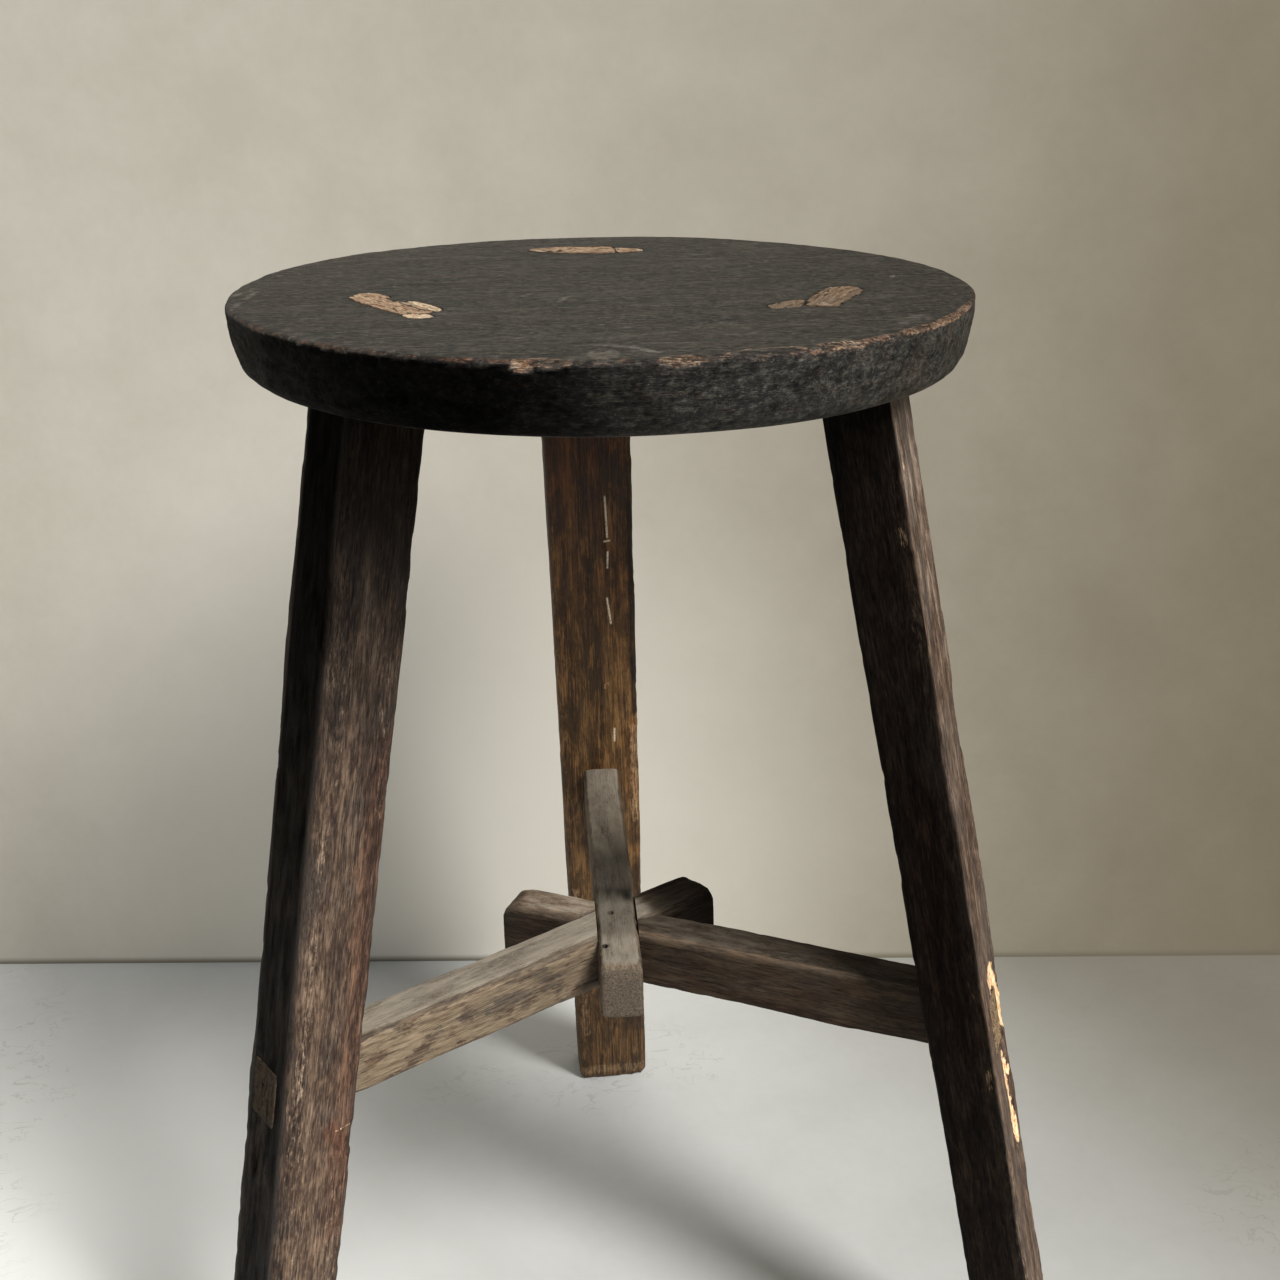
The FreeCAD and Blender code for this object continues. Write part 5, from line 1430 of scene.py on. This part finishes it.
M_BACK = wood("back_leg_wood", (34, 19, 8), (80, 56, 29), (124, 93, 56), (54, 39, 22),
              [(92, 68, 44), (138, 108, 76), (176, 148, 112)], [(150, 96, 56), (222, 180, 132), (240, 216, 178)],
              dust=(150, 130, 102), rough=(0.50, 0.80), spec=0.4, fig=0.16, grey_amt=0.75, fleck=0.3,
              wear_k=0.58, bump=0.6, crack=0.4, streak=0.03, tan=(138, 98, 56), tan_amt=0.6, extra=back_leg_extra, seed=3.0)
M_BAR = wood("stretcher_wood", (62, 50, 40), (99, 85, 70), (126, 111, 93), (102, 93, 82),
             [(104, 86, 67), (130, 113, 91), (156, 138, 113)], [(150, 104, 68), (216, 178, 134), (238, 216, 180)],
             dust=(150, 141, 126), rough=(0.65, 0.90), spec=0.3, fig=0.26, fine=0.8, grey_amt=0.5, fleck=0.4,
             wear_k=0.56, bump=0.6, crack=0.45, streak=0.11, tan=(142, 118, 90), tan_amt=0.35, seed=4.0)
M_SLIP = wood("slip_wood", (70, 52, 38), (124, 100, 78), (164, 140, 114), (120, 106, 92),
              [(116, 86, 64), (168, 136, 108), (204, 178, 148)], [(150, 110, 78), (212, 186, 152), (238, 222, 194)],
              dust=(156, 144, 124), rough=(0.65, 0.90), spec=0.3, fig=0.4, grey_amt=0.3, fleck=0.3,
              wear_k=0.45, bump=0.7, crack=0.5, streak=0.08, seed=5.0)

# ----------------------------------------------------------------- pieces
for key in ("fl", "fr", "bk"):
    L, K = LEGS[key], BARS[key]
    leg = build_leg(key)
    hole = lofted("tool", list(tenon_rings(key, lambda A: -A - 4.0, lambda A: A + 4.0, 0.32, 40, jag=0.3, seed=9.0)), (3, 3))
    boolean(leg, [hole])
    leg_masks(key, leg)
    finish_piece(leg, [L["node"]], M_BACK if key == "bk" else M_LEG)
    bar = build_bar(key)
    bar_masks(key, bar)
    bar.name = K["node"] + "_bar"
    finish_piece(bar, [K["node"]], M_BAR)
    ten = build_bar_tenon(key)
    bar_masks(key, ten, tenon=True)
    finish_piece(ten, [K["node"]], M_BAR)

seat = build_seat()
seat_masks(seat)
finish_piece(seat, ["seat"], M_SEAT)
for name, key, poly, z_lo, grow in ENDS:
    p = plug(name, key, poly, Z_TOP + (0.25 if "leg" in name else 0.0), z_lo, 0.0)
    plug_masks(name, key, p)
    if name.endswith("leg_tenon"):
        finish_piece(p, [LEGS[key]["node"]], M_SLIP)
    else:
        p.name = name + "_piece"
        finish_piece(p, [name], M_SLIP)

# ------------------------------------------------------------------ stage
WALL_A = np.array([-413.85, 334.14])
WALL_B = np.array([479.59, 237.12])
wd = (WALL_B - WALL_A) / np.linalg.norm(WALL_B - WALL_A)
wn = np.array([wd[1], -wd[0]])            # towards the room


def stage_material(name, base, dark, rough, scale, x0, x1, ky, far, light_pool, edge=False):
    """Pale plaster or screed: soft clouds and fine tooth, with painted light: a slow
    darkening across the room, a lighter painted pool of light, and optionally a
    painted shade line along the wall's foot."""
    mat = bpy.data.materials.new(name)
    S = Nodes(mat)
    pos = S.node("ShaderNodeNewGeometry").outputs["Position"]
    xyz = S.sep(pos, "ShaderNodeSeparateXYZ")
    a = S.noise(pos, (scale, scale, scale), 5, 0.6, 0.4, 3)
    b = S.noise(pos, (scale * 7, scale * 7, scale * 7), 4, 0.6, 0.2, 9)
    c = S.noise(pos, (160, 160, 160), 3, 0.6, 0.0, 21)
    k = S.m("ADD", S.m("MULTIPLY", a, 0.6), S.m("MULTIPLY", b, 0.3))
    k = S.m("ADD", k, S.m("MULTIPLY", c, 0.1))
    col = S.ramp(k, [(0.36, lin(*dark)), (0.62, lin(*base))])
    # painted light falloff: darker towards the right of the room
    run = S.ss(S.m("ADD", xyz[0], S.m("MULTIPLY", xyz[1], ky)), x0, x1)
    col = S.mix(run, col, S.mix(1.0, col, far, "MULTIPLY"))
    # painted pool of light: lighter round a given point
    d = S.node("ShaderNodeVectorMath", operation="DISTANCE")
    S.put(d.inputs[0], pos)
    d.inputs[1].default_value = light_pool[0]
    col = S.mix(S.m("MULTIPLY", S.ss(d.outputs["Value"], light_pool[1], 0.0), light_pool[2]), col, light_pool[3])
    # painted shade along the wall's foot, where it meets the floor
    if edge:
        col = S.mix(S.ss(xyz[2], 0.0060, 0.0), col, lin(128, 121, 104))
    else:
        sc = S.noise(pos, (34, 60, 34), 3, 0.6, 0.6, 31)
        f = S.ss(S.m("ABSOLUTE", S.m("SUBTRACT", sc, 0.5)), 0.016, 0.004)
        f = S.m("MULTIPLY", f, S.ss(S.noise(pos, (5, 5, 5), 3, 0.6, 0.0, 41), 0.54, 0.64))
        col = S.mix(S.m("MULTIPLY", f, 0.22), col, lin(120, 116, 104))
    bs = S.node("ShaderNodeBsdfPrincipled")
    S.put(bs.inputs["Base Color"], col)
    S.put(bs.inputs["Roughness"], rough)
    S.put(bs.inputs["Specular IOR Level"], 0.2)
    bp = S.node("ShaderNodeBump")
    bp.inputs["Strength"].default_value = 0.25
    bp.inputs["Distance"].default_value = 0.002
    S.put(bp.inputs["Height"], k)
    S.nt.links.new(bp.outputs[0], bs.inputs["Normal"])
    out = S.node("ShaderNodeOutputMaterial")
    S.nt.links.new(bs.outputs[0], out.inputs[0])
    return mat


def sheet_mesh(name, corners, mat):
    me = bpy.data.meshes.new(name)
    me.from_pydata([tuple(c) for c in corners], [], [tuple(range(len(corners)))])
    me.update()
    me.materials.append(mat)
    ob = bpy.data.objects.new(name, me)
    bpy.context.scene.collection.objects.link(ob)
    return ob


far_l, far_r = WALL_A - wd * 3500, WALL_B + wd * 3500
near_l, near_r = far_l + wn * 6000, far_r + wn * 6000
m2 = lambda p, z=0.0: (p[0] * MM, p[1] * MM, z * MM)
# painted light: the floor is lightened where the front-left leg's shadow falls, the wall behind the crossing where the
# seat's shadow falls
floor = sheet_mesh("floor", [m2(near_l), m2(near_r), m2(far_r), m2(far_l)],
                   stage_material("floor_pale", (208, 209, 206), (192, 192, 188), 0.55, 1.6, 0.12, 0.52, 0.55, (0.40, 0.37, 0.31, 1),
                                  ((-0.33, -0.02, 0.0), 0.34, 0.9, (0.93, 0.93, 0.90, 1))))
wall = sheet_mesh("backdrop", [m2(far_l), m2(far_r), m2(far_r, 3200), m2(far_l, 3200)],
                  stage_material("backdrop_beige", (216, 210, 196), (197, 190, 175), 0.85, 2.2, -0.20, 0.50, 0.0, (0.42, 0.385, 0.32, 1),
                                 ((-0.10, 0.30, 0.12), 0.36, 0.85, (0.93, 0.885, 0.78, 1)), True))

# ----------------------------------------------------------------- lights
centre = Vector((0.0, 0.0, 0.30))


def area(name, az, el, dist, size, power, colour, aim=centre):
    ld = bpy.data.lights.new(name, "AREA")
    ld.shape, ld.size, ld.size_y, ld.energy, ld.color = "ELLIPSE", size[0], size[1], power, colour
    ob = bpy.data.objects.new(name, ld)
    a, e = math.radians(az), math.radians(el)
    ob.location = aim + Vector((math.cos(a) * math.cos(e), math.sin(a) * math.cos(e), math.sin(e))) * dist
    ob.rotation_mode = "QUATERNION"
    ob.rotation_quaternion = (aim - ob.location).to_track_quat("-Z", "Y")
    bpy.context.scene.collection.objects.link(ob)
    return ob


key_light = area("key", -50, 47, 5.0, (1.15, 2.8), 34.0, (1.0, 0.995, 0.985), Vector((-0.30, 0.10, 0.25)))
key_light.data.spread = math.radians(60)
world = bpy.data.worlds.new("room")
bpy.context.scene.world = world
world.use_nodes = True
world.node_tree.nodes["Background"].inputs[0].default_value = (0.90, 0.94, 1.0, 1)
world.node_tree.nodes["Background"].inputs[1].default_value = 0.27
bpy.context.scene.view_settings.view_transform = "Standard"

# ----------------------------------------------------------------- camera
right = Vector((0.9952156719828998, -0.09646347190430626, -0.015510152410342079))
up = Vector((0.04674869275331235, 0.33075540554049015, 0.942557914099501))
ahead = Vector((0.08579234211444123, 0.9387734872129234, -0.3336825043969277))
cd = bpy.data.cameras.new("camera")
cam = bpy.data.objects.new("camera", cd)
bpy.context.scene.collection.objects.link(cam)
cam.matrix_world = Matrix(((right[0], up[0], -ahead[0], -0.0498366), (right[1], up[1], -ahead[1], -0.6986295),
                           (right[2], up[2], -ahead[2], 0.6315372), (0, 0, 0, 1)))
cd.sensor_fit = "HORIZONTAL"
cd.sensor_width = 36.0
cd.lens = 1626.5867 / 1280 * 36.0
cd.shift_x = 0.0
cd.shift_y = -59.1785 / 1280
cd.clip_start, cd.clip_end = 0.05, 30.0
cd.dof.use_dof = False
bpy.context.scene.camera = cam
